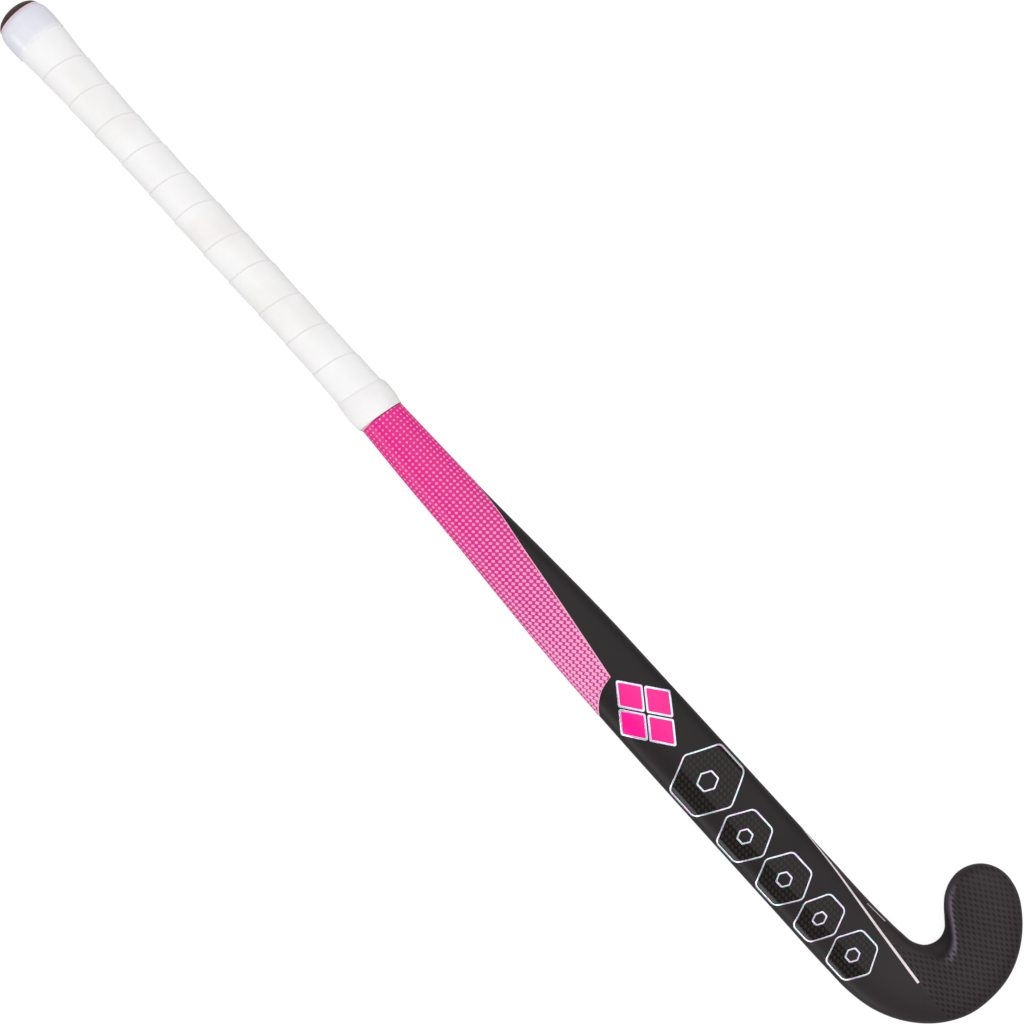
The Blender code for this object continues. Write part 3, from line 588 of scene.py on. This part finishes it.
around = np.stack((np.repeat(phase[:, None], SPOKES, 1), np.repeat(turn_share[None, :], len(phase), 0)), -1)
pu, tree, shader = finish("grip_cover", Specular_IOR_Level=0.35, Sheen_Weight=0.15, Sheen_Roughness=0.5,
                          Subsurface_Weight=0.08, Subsurface_Scale=0.002)
grain = use(tree, surface_grain, Grain=900.0, Depth=0.22, Mottle=34.0)
tone = mixed(tree, grain["Mottle"], colour(243, 241, 241), colour(246, 244, 245))
turn_uv = node(tree, "UVMap", uv_map="along_and_around").outputs[0]
lap_place = sums(tree, "FRACT", node(tree, "SeparateXYZ", {0: turn_uv}).outputs[0])
# Painted shade: a darker line along each lap seam of the ribbon.
tone = mixed(tree, spread(tree, lap_place, 0.96, 0.99, 0.0, 0.38), tone, colour(206, 199, 194))
tone = mixed(tree, sums(tree, "MULTIPLY", grain["Smudge"], 0.6), tone, colour(236, 232, 228))
grain_finish(tree, shader, tone, grain, "Mottle", 0.52, 0.6)
grip = piece("grip_wrap_turns", shape.reshape(-1, 3), quads, pu, ["grip_wrap"],
             around=around.reshape(-1, 2))
bm = bmesh.new()
bm.from_mesh(grip.data)
for x, side in ((GRIP_START, -1), (GRIP_END - 0.3, 1)):
    bmesh.ops.bisect_plane(bm, geom=bm.verts[:] + bm.edges[:] + bm.faces[:], dist=1e-7,
                           plane_co=((x - ORIGIN[0]) * MM, 0, 0), plane_no=(side, 0, 0), clear_outer=True)
bmesh.ops.recalc_face_normals(bm, faces=bm.faces)
bm.to_mesh(grip.data)
bm.free()
thick = grip.modifiers.new("ribbon", "SOLIDIFY")
thick.thickness, thick.offset = 0.7 * MM, -1


# ---------------------------------------------------------------------- end tapes
# The ribbon is held at the butt by a turn of bluish clear tape, pulled in round the
# shoulder, and at its lower end by a turn of white cloth tape cut on a slight slant.
def sleeve(name, start, end, lifts, thickness, surface, replaced, wrinkle, tuck=0.0):
    """A band round the stick: its start and end are (middle, slant), lifts its height along
    it, and tuck how far its first edge is pressed down."""
    share = (0.5 - 0.5 * np.cos(np.linspace(0, math.pi, 40)))[:, None]
    first = start[0] + start[1] * across[None, :]
    last = end[0] + end[1] * across[None, :]
    x = first * (1 - share) + last * share
    edge_gap = np.minimum(x - first, last - x)
    lifts = curve(lifts, x) - tuck * np.exp((first - x) / 1.2)
    rib = rib_at(np.maximum(x, BUTT))
    waves = np.array([[noise.noise(Vector((v * 0.09, t * 11.0, 3.1))) for v, t in zip(line, turn_share)]
                      for line in x])
    lift = lifts + thickness * (1 - np.exp(-edge_gap / 0.25)) + wrinkle * waves * ease(edge_gap, 0, 3)
    top = skin(rib, across[None, :], lift, face=under[None, :])
    low = skin(rib, across[None, :], lifts - 0.1, face=under[None, :])
    top[..., 0] += x - np.maximum(x, BUTT)
    count = len(share)
    points = np.concatenate((top.reshape(-1, 3), low.reshape(-1, 3)))
    faces = grid_faces(count, SPOKES) + grid_faces(count, SPOKES, count * SPOKES)
    for row in (0, count - 1):
        faces += rim_faces(SPOKES, row * SPOKES, (row + count) * SPOKES)
    return piece(name, points, faces, surface, replaced, sharp=60)


clear, tree, shader = finish("top_tape_film", Specular_IOR_Level=0.5, Coat_Weight=0.25, Coat_Roughness=0.2)
grain = use(tree, surface_grain, Grain=700.0, Depth=0.18, Mottle=70.0)
along = frame_axis(tree, 0)
tape_end = (31.0 - ORIGIN[0]) * MM
tape_start = (8.4 - ORIGIN[0]) * MM
tone = mixed(tree, grain["Mottle"], colour(224, 224, 236), colour(230, 230, 239))
tone = mixed(tree, spread(tree, along, tape_end - 0.004, tape_end), tone, colour(238, 237, 243))
tone = mixed(tree, spread(tree, along, tape_start + 0.0006, tape_start + 0.0022, 0.55, 0.0), tone,
             colour(246, 170, 176))
grain_finish(tree, shader, tone, grain, "Smudge", 0.34, 0.5)
sleeve("top_tape_band", (8.4, 0), (31.0, 0.5), [(8.0, 1.25), (10, 1.65), (13, 1.85), (32, 1.85)], 0.25, clear,
       ["top_tape"], 0.14)

cloth, tree, shader = finish("cloth_tape", Specular_IOR_Level=0.3)
grain = use(tree, surface_grain, Grain=1300.0, Depth=0.3, Mottle=60.0)
tone = mixed(tree, grain["Mottle"], colour(240, 239, 239), colour(245, 244, 244))
tone = mixed(tree, sums(tree, "MULTIPLY", grain["Smudge"], 0.5), tone, colour(228, 226, 224))
grain_finish(tree, shader, tone, grain, "Mottle", 0.55, 0.66)
TAPER = [(340, 1.75), (346, 1.95), (352, 2.45), (358, 2.25), (362, 1.75), (365, 1.0), (368.5, 0.3)]
sleeve("bottom_tape_band", (344.6, 3.2), (366.0, 2.0), TAPER, 0.3, cloth, ["bottom_tape"], 0.16,
       tuck=0.5)


# --------------------------------------------------------------------- pink film
# A printed decal laid round the upper shaft under the lacquer.  Pale dots grow into
# linked tiles towards the head, and a fine pale line borders its long cut edge.
def tile_group():
    """Round dots that grow into slanting linked tiles; size runs from 0 to 1."""
    tree, given, made = effect_group("printed_tiles", {"Vector": (), "Pitch": 3.3, "Size": 0.3},
                                     {"Mask": "Float"})
    parts = node(tree, "SeparateXYZ", {0: given["Vector"]}).outputs
    b = sums(tree, "SUBTRACT", sums(tree, "FRACT", sums(tree, "DIVIDE", parts[1], given["Pitch"])), 0.5)
    lean = sums(tree, "MULTIPLY", b, sums(tree, "MULTIPLY", given["Size"], 0.45))
    a = sums(tree, "FRACT", sums(tree, "ADD", sums(tree, "DIVIDE", parts[0], given["Pitch"]), lean))
    a = sums(tree, "SUBTRACT", a, 0.5)
    circle = sums(tree, "SQRT", sums(tree, "ADD", sums(tree, "MULTIPLY", a, a), sums(tree, "MULTIPLY", b, b)))
    lozenge = sums(tree, "ADD", sums(tree, "ABSOLUTE", a), sums(tree, "ABSOLUTE", b))
    lozenge = sums(tree, "MULTIPLY", lozenge, 0.74)
    reach = node(tree, "Mix", {0: given["Size"], 2: circle, 3: lozenge}).outputs[0]
    radius = sums(tree, "MULTIPLY_ADD", given["Size"], 0.235, 0.175)
    mask = spread(tree, sums(tree, "SUBTRACT", radius, reach), -0.05, 0.05)
    tree.links.new(mask, made.inputs["Mask"])
    return tree


printed_tiles = tile_group()
FILM_LOW, FILM_HEIGHT = 0.02, 0.14
FILM_START = 362.0
FILM_EDGE = [(441.5, 16.2), (463.0, 14.6), (494.0, 10.0), (531.5, 4.7), (594.4, -4.9)]
FILM_END = [(594.4, -4.9), (595.2, -9.0), (596.4, -13.5), (598.5, -17.6), (601.3, -21.4), (605.0, -25.0),
            (608.8, -27.6)]
wedge, corner = FILM_EDGE[0][0], FILM_EDGE[-1][0]
hollow_end = np.array(FILM_END)
end_steps = np.linspace(0, 1, 41)[1:]
end_walk = np.concatenate(([0], np.cumsum(np.linalg.norm(np.diff(hollow_end, axis=0), axis=1))))
end_x, end_y = (curve(np.stack((end_walk / end_walk[-1], hollow_end[:, k]), 1), end_steps) for k in (0, 1))
places = np.concatenate((np.linspace(FILM_START, wedge, 20)[:-1],
                         wedge + (corner - wedge) * (1 - np.cos(np.linspace(0, math.pi / 2, 90))),
                         end_x))
cut = curve(FILM_EDGE, places)
cut[places > corner] = end_y
toe, back = edges(rib_at(places), FILM_LOW)
seam = np.where(places > wedge, (2 * cut - toe[:, 1] - back[:, 1]) / (toe[:, 1] - back[:, 1]), 0.999999)
seam = np.arccos(np.clip(seam, -1, 0.999999))
SIDE = 60
share = np.linspace(0, 1, SIDE + 1)[None, :]
turns = seam[:, None] + (math.pi - seam[:, None]) * share
film_across = np.cos(np.concatenate((turns, turns[:, -2::-1]), 1))
film_under = np.arange(2 * SIDE + 1)[None, :] > SIDE
ribs = rib_at(places)[:, None]
low = skin(ribs, film_across, FILM_LOW, face=film_under)
step = np.linalg.norm(np.diff(low, axis=1), axis=-1)
arc = np.concatenate((np.zeros((len(places), 1)), np.cumsum(step, 1)), 1)
edge_gap = np.minimum(arc, arc[:, -1:] - arc)
top = skin(ribs, film_across, FILM_LOW + FILM_HEIGHT * (1 - np.exp(-edge_gap / 0.12)), face=film_under)
# The print is laid out from the crown, and from where it would be once the cut has passed it.
crown_arc = np.array([np.interp(0, -line[:SIDE + 1], walk[:SIDE + 1])
                      for line, walk in zip(film_across, arc)])
middle_line = (toe[:, 1] + back[:, 1]) / 2
crown_arc = np.where(film_across[:, 0] > 0, crown_arc, -np.abs(cut - middle_line) * 1.02)
around = np.stack((np.broadcast_to(places[:, None], arc.shape), arc - crown_arc[:, None]), -1)
count, columns = arc.shape
points = np.concatenate((top.reshape(-1, 3), low.reshape(-1, 3)))
faces = grid_faces(count, columns, closed=False) + grid_faces(count, columns, count * columns, closed=False)
rim = [r * columns for r in range(count)]
far_rim = [r * columns + columns - 1 for r in range(count)]
for line in (rim, far_rim, list(range(columns)), list(range((count - 1) * columns, count * columns))):
    faces += [(a, b, b + count * columns, a + count * columns) for a, b in zip(line, line[1:])]
pink, tree, shader = finish("pink_print", Coat_Weight=0.08, Coat_Roughness=0.25, Specular_IOR_Level=0.2)
uv = node(tree, "UVMap", uv_map="along_and_around").outputs[0]
along = node(tree, "SeparateXYZ", {0: uv}).outputs[0]
size = spread(tree, along, 375, 590, 0.14, 1.0, smooth=False)
tiles = use(tree, printed_tiles, Vector=uv, Pitch=3.3, Size=size)["Mask"]
border = mask_value(tree, "edge_distance")
grain = use(tree, surface_grain, Grain=2000.0, Depth=0.08, Mottle=40.0)
ground = mixed(tree, spread(tree, along, 380, 600), colour(228, 34, 134), colour(192, 50, 128))
dots = mixed(tree, spread(tree, along, 400, 600), colour(252, 146, 202), colour(246, 166, 208))
tone = mixed(tree, tiles, ground, dots)
tone = mixed(tree, spread(tree, border, 0.9, 0.6), tone, colour(250, 176, 205))
sideways = frame_axis(tree, 1)
# Painted shade: a dark line across the film just beyond the cloth tape's slanted end.
start_line = sums(tree, "MULTIPLY_ADD", sideways, -0.13 / MM, along)
line_place = 366.9 - 0.13 * (middle_line[0] - ORIGIN[1])
tone = mixed(tree, spread(tree, start_line, line_place, line_place - 0.5), tone, colour(96, 26, 60))
grain_finish(tree, shader, tone, grain, "Mottle", 0.34, 0.4)
# No pale border where the film meets itself, before the cut begins.
edge_distance = edge_gap + np.where(places < wedge + 2, 5.0, 0.0)[:, None]
piece("pink_decal", points, faces, pink, ["pink_film"], sharp=60,
      around=np.tile(around.reshape(-1, 2), (2, 1)),
      masks={"edge_distance": np.tile(edge_distance.ravel(), 2)})


# ---------------------------------------------------------------- diamond emblem
# Four magenta diamonds set in one larger diamond, each edged with a narrow line of
# holographic silver foil that stands a little proud under the lacquer.
def on_back(plan, lift):
    """Points of the back above plan positions on the shaft."""
    rib = rib_at(plan[..., 0])
    toe, back = edges(rib, np.broadcast_to(lift, rib.shape))
    v = (2 * plan[..., 1] - toe[..., 1] - back[..., 1]) / (toe[..., 1] - back[..., 1])
    return skin(rib, np.clip(v, -1, 1), lift)


def rounded_polygon(corners, radius, side_steps, arc_steps):
    """Corner points rounded off with arcs, and the sides between them divided evenly."""
    arcs, count = [], len(corners)
    for i, corner in enumerate(corners):
        corner = np.array(corner, float)
        before = np.array(corners[i - 1], float) - corner
        after = np.array(corners[(i + 1) % count], float) - corner
        before, after = before / np.linalg.norm(before), after / np.linalg.norm(after)
        half_angle = math.acos(float(np.clip(before @ after, -1, 1))) / 2
        reach = radius / math.tan(half_angle)
        middle = before + after
        centre = corner + middle / np.linalg.norm(middle) * radius / math.sin(half_angle)
        chords = [corner + (before * (1 - k / arc_steps) + after * k / arc_steps) * reach - centre
                  for k in range(arc_steps + 1)]
        arcs.append([centre + c / np.linalg.norm(c) * radius for c in chords])
    loop = []
    for i, arc in enumerate(arcs):
        side = arcs[(i + 1) % count][0] - arc[-1]
        loop += arc + [arc[-1] + side * k / side_steps for k in range(1, side_steps)]
    return np.array(loop)


LINE_SHARES = np.array((0, 0.0, 0.06, 0.16, 0.5, 0.84, 0.94, 1.0, 1.0))
LINE_HEIGHTS = np.array((0, 0.5, 0.85, 1.0, 1.0, 1.0, 0.85, 0.5, 0))


def film_line(name, outer, inner, height, surface, replaced):
    """Raised line of film between two outlines of the same number of points."""
    plan = outer[None] * (1 - LINE_SHARES[:, None, None]) + inner[None] * LINE_SHARES[:, None, None]
    points = on_back(plan, FILM_LOW + height * LINE_HEIGHTS[:, None])
    count, columns = points.shape[:2]
    faces = grid_faces(count, columns) + rim_faces(columns, 0, (count - 1) * columns)
    return piece(name, points.reshape(-1, 3), faces, surface, replaced, sharp=80)


def film_area(name, outer, inner, rows, height, surface, replaced):
    """Raised film from an outline in to a smaller one, or to its centre if inner is None."""
    hole = inner is not None
    target = inner if hole else np.broadcast_to(outer.mean(axis=0), outer.shape)
    inset = 0.02
    shares = np.concatenate(([0, 0, inset], np.linspace(0.06, 0.94 if hole else 0.97, rows),
                             [1 - inset, 1, 1] if hole else []))
    heights = np.concatenate(([0, 0.6, 1], np.ones(rows), [1, 0.6, 0] if hole else []))
    plan = outer[None] * (1 - shares[:, None, None]) + target[None] * shares[:, None, None]
    points = on_back(plan, FILM_LOW + height * heights[:, None])
    count, columns = points.shape[:2]
    flat = plan.reshape(-1, 2)
    faces = grid_faces(count, columns)
    points = points.reshape(-1, 3)
    last = (count - 1) * columns
    if hole:
        faces += rim_faces(columns, 0, last)
    else:
        centre = np.array([target[0]])
        points = np.concatenate((points, on_back(centre, FILM_LOW + height), on_back(centre, 0.0)))
        flat = np.concatenate((flat, centre, centre))
        faces += fan_faces(last, columns, len(points) - 2) + fan_faces(0, columns, len(points) - 1)
    return piece(name, points, faces, surface, replaced, around=flat, sharp=80)


foil, tree, shader = finish("silver_foil", Metallic=0.8)
place = frame_place(tree)
drift = node(tree, "TexNoise", {"Vector": place, "Scale": 95.0, "Detail": 1.0, "Distortion": 0.6}).outputs[0]
fine = node(tree, "TexNoise", {"Vector": place, "Scale": 700.0, "Detail": 2.0}).outputs[0]
rainbow = node(tree, "ValToRGB", {0: sums(tree, "FRACT", sums(tree, "MULTIPLY", drift, 4.0))})
ramp = rainbow.color_ramp
hues = ((0.0, (214, 208, 246)), (0.2, (240, 238, 250)), (0.42, (182, 236, 230)), (0.58, (240, 240, 246)),
        (0.75, (248, 214, 236)), (1.0, (214, 208, 246)))
while len(ramp.elements) < len(hues):
    ramp.elements.new(0.5)
for element, (position, hue) in zip(ramp.elements, hues):
    element.position, element.color = position, colour(*hue)
set_inputs(tree, shader, Base_Color=rainbow.outputs[0], Roughness=spread(tree, fine, 0.3, 0.7, 0.2, 0.38),
           Normal=bumped(tree, fine, 0.12))

magenta, tree, shader = finish("magenta_print", Coat_Weight=0.1, Coat_Roughness=0.15, Specular_IOR_Level=0.2)
grain = use(tree, surface_grain, Grain=1600.0, Depth=0.06, Mottle=50.0)
drop = frame_axis(tree, 1)
fresh = mixed(tree, spread(tree, drop, (-26 - ORIGIN[1]) * MM, (14 - ORIGIN[1]) * MM),
              colour(250, 0, 146), colour(252, 44, 152))
tone = mixed(tree, sums(tree, "MULTIPLY", grain["Mottle"], 0.35), fresh, colour(244, 20, 140))
grain_finish(tree, shader, tone, grain, "Smudge", 0.3, 0.38)

DIAMOND_FOIL, HEXAGON_FOIL, FOIL_HEIGHT, PRINT_HEIGHT = 1.4, 1.2, 0.2, 0.14
DIAMOND_CENTRE, DIAMOND_HALF, DIAMOND_SPACE = (627.5, -3.9), (30.5, 22.6), 0.9
length, height = DIAMOND_HALF[0] / 2, DIAMOND_HALF[1] / 2
side = math.hypot(length, height)
# Inset and corner radius of the foil's two edges and of the print under it.
INSETS = ((DIAMOND_SPACE / 2, 1.4), (DIAMOND_SPACE / 2 + DIAMOND_FOIL, 0.8),
          (DIAMOND_SPACE / 2 + DIAMOND_FOIL - 0.1, 0.85))
for index, (dx, dy) in enumerate([(-1, 0), (1, 0), (0, 1), (0, -1)], 1):
    centre = np.array(DIAMOND_CENTRE) + (dx * length, dy * height)
    loops = []
    for inset, radius in INSETS:
        shrink = 1 - inset * side / (length * height)
        corners = [centre + shrink * np.array(c) for c in
                   ((length, 0), (0, height), (-length, 0), (0, -height))]
        loops.append(rounded_polygon(corners, radius, 18, 8))
    film_line(f"diamond_edge_{index}", loops[0], loops[1], FOIL_HEIGHT, foil,
              [f"diamond_foil_{index}"])
    film_area(f"diamond_field_{index}", loops[2], None, 10, PRINT_HEIGHT, magenta,
              [f"diamond_print_{index}"])

# ------------------------------------------------------------------ hexagon panels
# Five rounded hexagons of gloss carbon print down the lower shaft, the first one taller,
# each with a foil line round its rim and another round the open eye in its middle.
HEXAGONS = [(664.0, 711.0, -27.6, 19.2), (712.5, 749.5, -28.0, 6.6), (751.0, 789.0, -28.2, 6.4),
            (790.5, 821.5, -28.2, 5.8), (823.0, 857.0, -28.2, 5.0)]
EYE_SCALE, SHOULDER = 0.30, 0.52


def hexagon(panel, inset, radius):
    """Outline of a rounded hexagon with points along the stick, inset from its panel."""
    start, end, low, high = panel
    centre = np.array(((start + end) / 2, (low + high) / 2))
    half = np.array(((end - start) / 2, (high - low) / 2)) - inset
    shoulder = half[0] * SHOULDER
    corners = [(half[0], 0), (shoulder, half[1]), (-shoulder, half[1]),
               (-half[0], 0), (-shoulder, -half[1]), (shoulder, -half[1])]
    return rounded_polygon([centre + np.array(c) for c in corners], radius, 14, 8)


gloss, tree, shader = finish("gloss_carbon", Coat_Weight=0.25, Coat_Roughness=0.04, Specular_IOR_Level=0.12)
uv = node(tree, "UVMap", uv_map="along_and_around").outputs[0]
tiles = use(tree, printed_tiles, Vector=uv, Pitch=3.3, Size=0.75)["Mask"]
weave = use(tree, carbon_weave, Vector=uv, Tow=0.82)
ground = mixed(tree, weave["Tow"], colour(8, 6, 6), colour(14, 11, 10))
set_inputs(tree, shader, Base_Color=mixed(tree, tiles, ground, colour(38, 32, 29)),
           Roughness=spread(tree, tiles, 0, 1, 0.12, 0.3), Normal=bumped(tree, weave["Height"], 0.1))
for index, panel in enumerate(HEXAGONS, 1):
    start, end, low, high = panel
    eye = np.array(((end - start), (high - low))) / 2 * (1 - EYE_SCALE)
    eye_panel = (start + eye[0], end - eye[0], low + eye[1], high - eye[1])
    film_line(f"hexagon_rim_{index}", hexagon(panel, 0, 5.0), hexagon(panel, HEXAGON_FOIL, 3.9), FOIL_HEIGHT,
              foil, [f"hexagon_rim_foil_{index}"])
    film_area(f"hexagon_field_{index}", hexagon(panel, HEXAGON_FOIL - 0.1, 4.0), hexagon(eye_panel, 0.1, 1.4),
              12, PRINT_HEIGHT, gloss, [f"hexagon_print_{index}"])
    film_line(f"hexagon_eye_{index}", hexagon(eye_panel, 0, 1.4), hexagon(eye_panel, HEXAGON_FOIL, 0.7),
              FOIL_HEIGHT, foil, [f"hexagon_eye_foil_{index}"])

# --------------------------------------------------------------------- pinstripes
# Two narrow off-white lines run into the hook on the toe's side: a long one that starts
# at a point and marks the border of the moulded texture, and a short one beside it.
def on_plan(plan):
    """Rib and place across of plan positions anywhere on the back, found in Newton steps."""
    x, y = plan[..., 0], plan[..., 1]
    rib, v = rib_at(x), np.zeros_like(x)
    for _ in range(12):
        toe, back = edges(rib, 0.0)
        here = (toe * (1 + v[..., None]) + back * (1 - v[..., None])) / 2
        toe_on, back_on = edges(rib + 0.01, 0.0)
        a = ((toe_on * (1 + v[..., None]) + back_on * (1 - v[..., None])) / 2 - here) / 0.01
        b = (toe - back) / 2
        dx, dy = x - here[..., 0], y - here[..., 1]
        size = a[..., 0] * b[..., 1] - a[..., 1] * b[..., 0]
        rib = np.clip(rib + (dx * b[..., 1] - dy * b[..., 0]) / size, 0, LAST_RIB)
        v = np.clip(v + (a[..., 0] * dy - a[..., 1] * dx) / size, -1, 1)
    return rib, v


SHORT_ROUTE = [(822.0, 18.7), (830.0, 19.1), (839.5, 19.5)]
PINSTRIPE_HEIGHT = 0.16
# For each line, its route in plan, and its width at places along the stick.
PINSTRIPES = (("pinstripe", PINSTRIPE_ROUTE, [(755, 0.35), (790, 1.0), (835, 1.5), (884, 1.8)]),
              ("pinstripe_short", SHORT_ROUTE, [(822.0, 0.2), (839.5, 0.32)]))
ink, tree, shader = finish("pinstripe_ink", Metallic=0.1, Coat_Weight=0.1, Coat_Roughness=0.2)
grain = use(tree, surface_grain, Grain=1800.0, Depth=0.08, Mottle=120.0)
tone = mixed(tree, grain["Mottle"], colour(222, 208, 210), colour(236, 226, 228))
grain_finish(tree, shader, tone, grain, "Smudge", 0.32, 0.45)
for name, route, widths in PINSTRIPES:
    x = np.linspace(route[0][0], route[-1][0], 120)
    line = np.stack((x, curve(route, x)), 1)
    along = np.gradient(line, axis=0)
    side = np.stack((-along[:, 1], along[:, 0]), 1) / np.linalg.norm(along, axis=1)[:, None]
    width = np.interp(x, *np.array(widths).T)
    plan = line[:, None] + (side * width[:, None])[:, None] * (0.5 - LINE_SHARES)[None, :, None]
    rib, v = on_plan(plan)
    shape = skin(rib, np.minimum(v, 0.9995), FILM_LOW + PINSTRIPE_HEIGHT * LINE_HEIGHTS)
    count, columns = shape.shape[:2]
    ends = [tuple(range(row * columns, (row + 1) * columns)) for row in (0, count - 1)]
    piece(name + "_line", shape.reshape(-1, 3), grid_faces(count, columns) + ends, ink, [name],
          sharp=80)

# -------------------------------------------------------------------- studio
# A plain pale floor and soft, even studio light, with the camera straight above.
def seen_strength(tree, more, base):
    """A glow that is stronger where it is seen directly than where it lights the stick."""
    return sums(tree, "MULTIPLY_ADD", node(tree, "LightPath").outputs["Is Camera Ray"], more, base)


bpy.ops.mesh.primitive_plane_add(size=60)
floor = bpy.context.object
floor.name = "floor"
paper, tree, shader = finish("floor_paper", Roughness=0.9, Specular_IOR_Level=0.1,
                             Emission_Color=(1, 1, 1, 1))
fibres = node(tree, "TexNoise", {"Vector": frame_place(tree), "Scale": 6.0}).outputs[0]
set_inputs(tree, shader, Base_Color=mixed(tree, fibres, colour(136, 136, 138), colour(140, 140, 141)),
           Emission_Strength=seen_strength(tree, 0.6, 0.26))
floor.data.materials.append(paper)
floor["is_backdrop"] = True

world = bpy.data.worlds.new("studio")
world.use_nodes = True
sky = world.node_tree.nodes["Background"]
sky.inputs["Color"].default_value = (0.96, 0.951, 0.947, 1)
world.node_tree.links.new(seen_strength(world.node_tree, 0.45, 0.47), sky.inputs["Strength"])
bpy.context.scene.world = world

LAMPS = (("overhead_softbox", (0.0, 1.56, 1.5), (0.0, 1.56, 0.0), (4.0, 4.0), 49.0),
         ("side_softbox", (0.2, -2.2, 0.7), (0.0, 0.0, 0.0), (3.2, 0.7), 25.0))
for name, place, aim, size, power in LAMPS:
    lamp = bpy.data.lights.new(name, "AREA")
    lamp.shape = "RECTANGLE"
    lamp.size, lamp.size_y = size
    lamp.energy = power
    holder = bpy.data.objects.new(name, lamp)
    holder.location = place
    holder.rotation_euler = (Vector(aim) - Vector(place)).to_track_quat("-Z", "Y").to_euler()
    holder.visible_camera = False
    bpy.context.scene.collection.objects.link(holder)

lens = bpy.data.cameras.new("camera")
lens.lens, lens.sensor_width = 82.8, 36.0
lens.clip_start, lens.clip_end = 0.01, 100
camera = bpy.data.objects.new("camera", lens)
camera.location = (0.00705, -0.01455, 1.583)
camera.rotation_euler = (0, 0, math.radians(47.5))
bpy.context.scene.collection.objects.link(camera)
bpy.context.scene.camera = camera
bpy.context.scene.view_settings.view_transform = "Standard"

low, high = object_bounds()
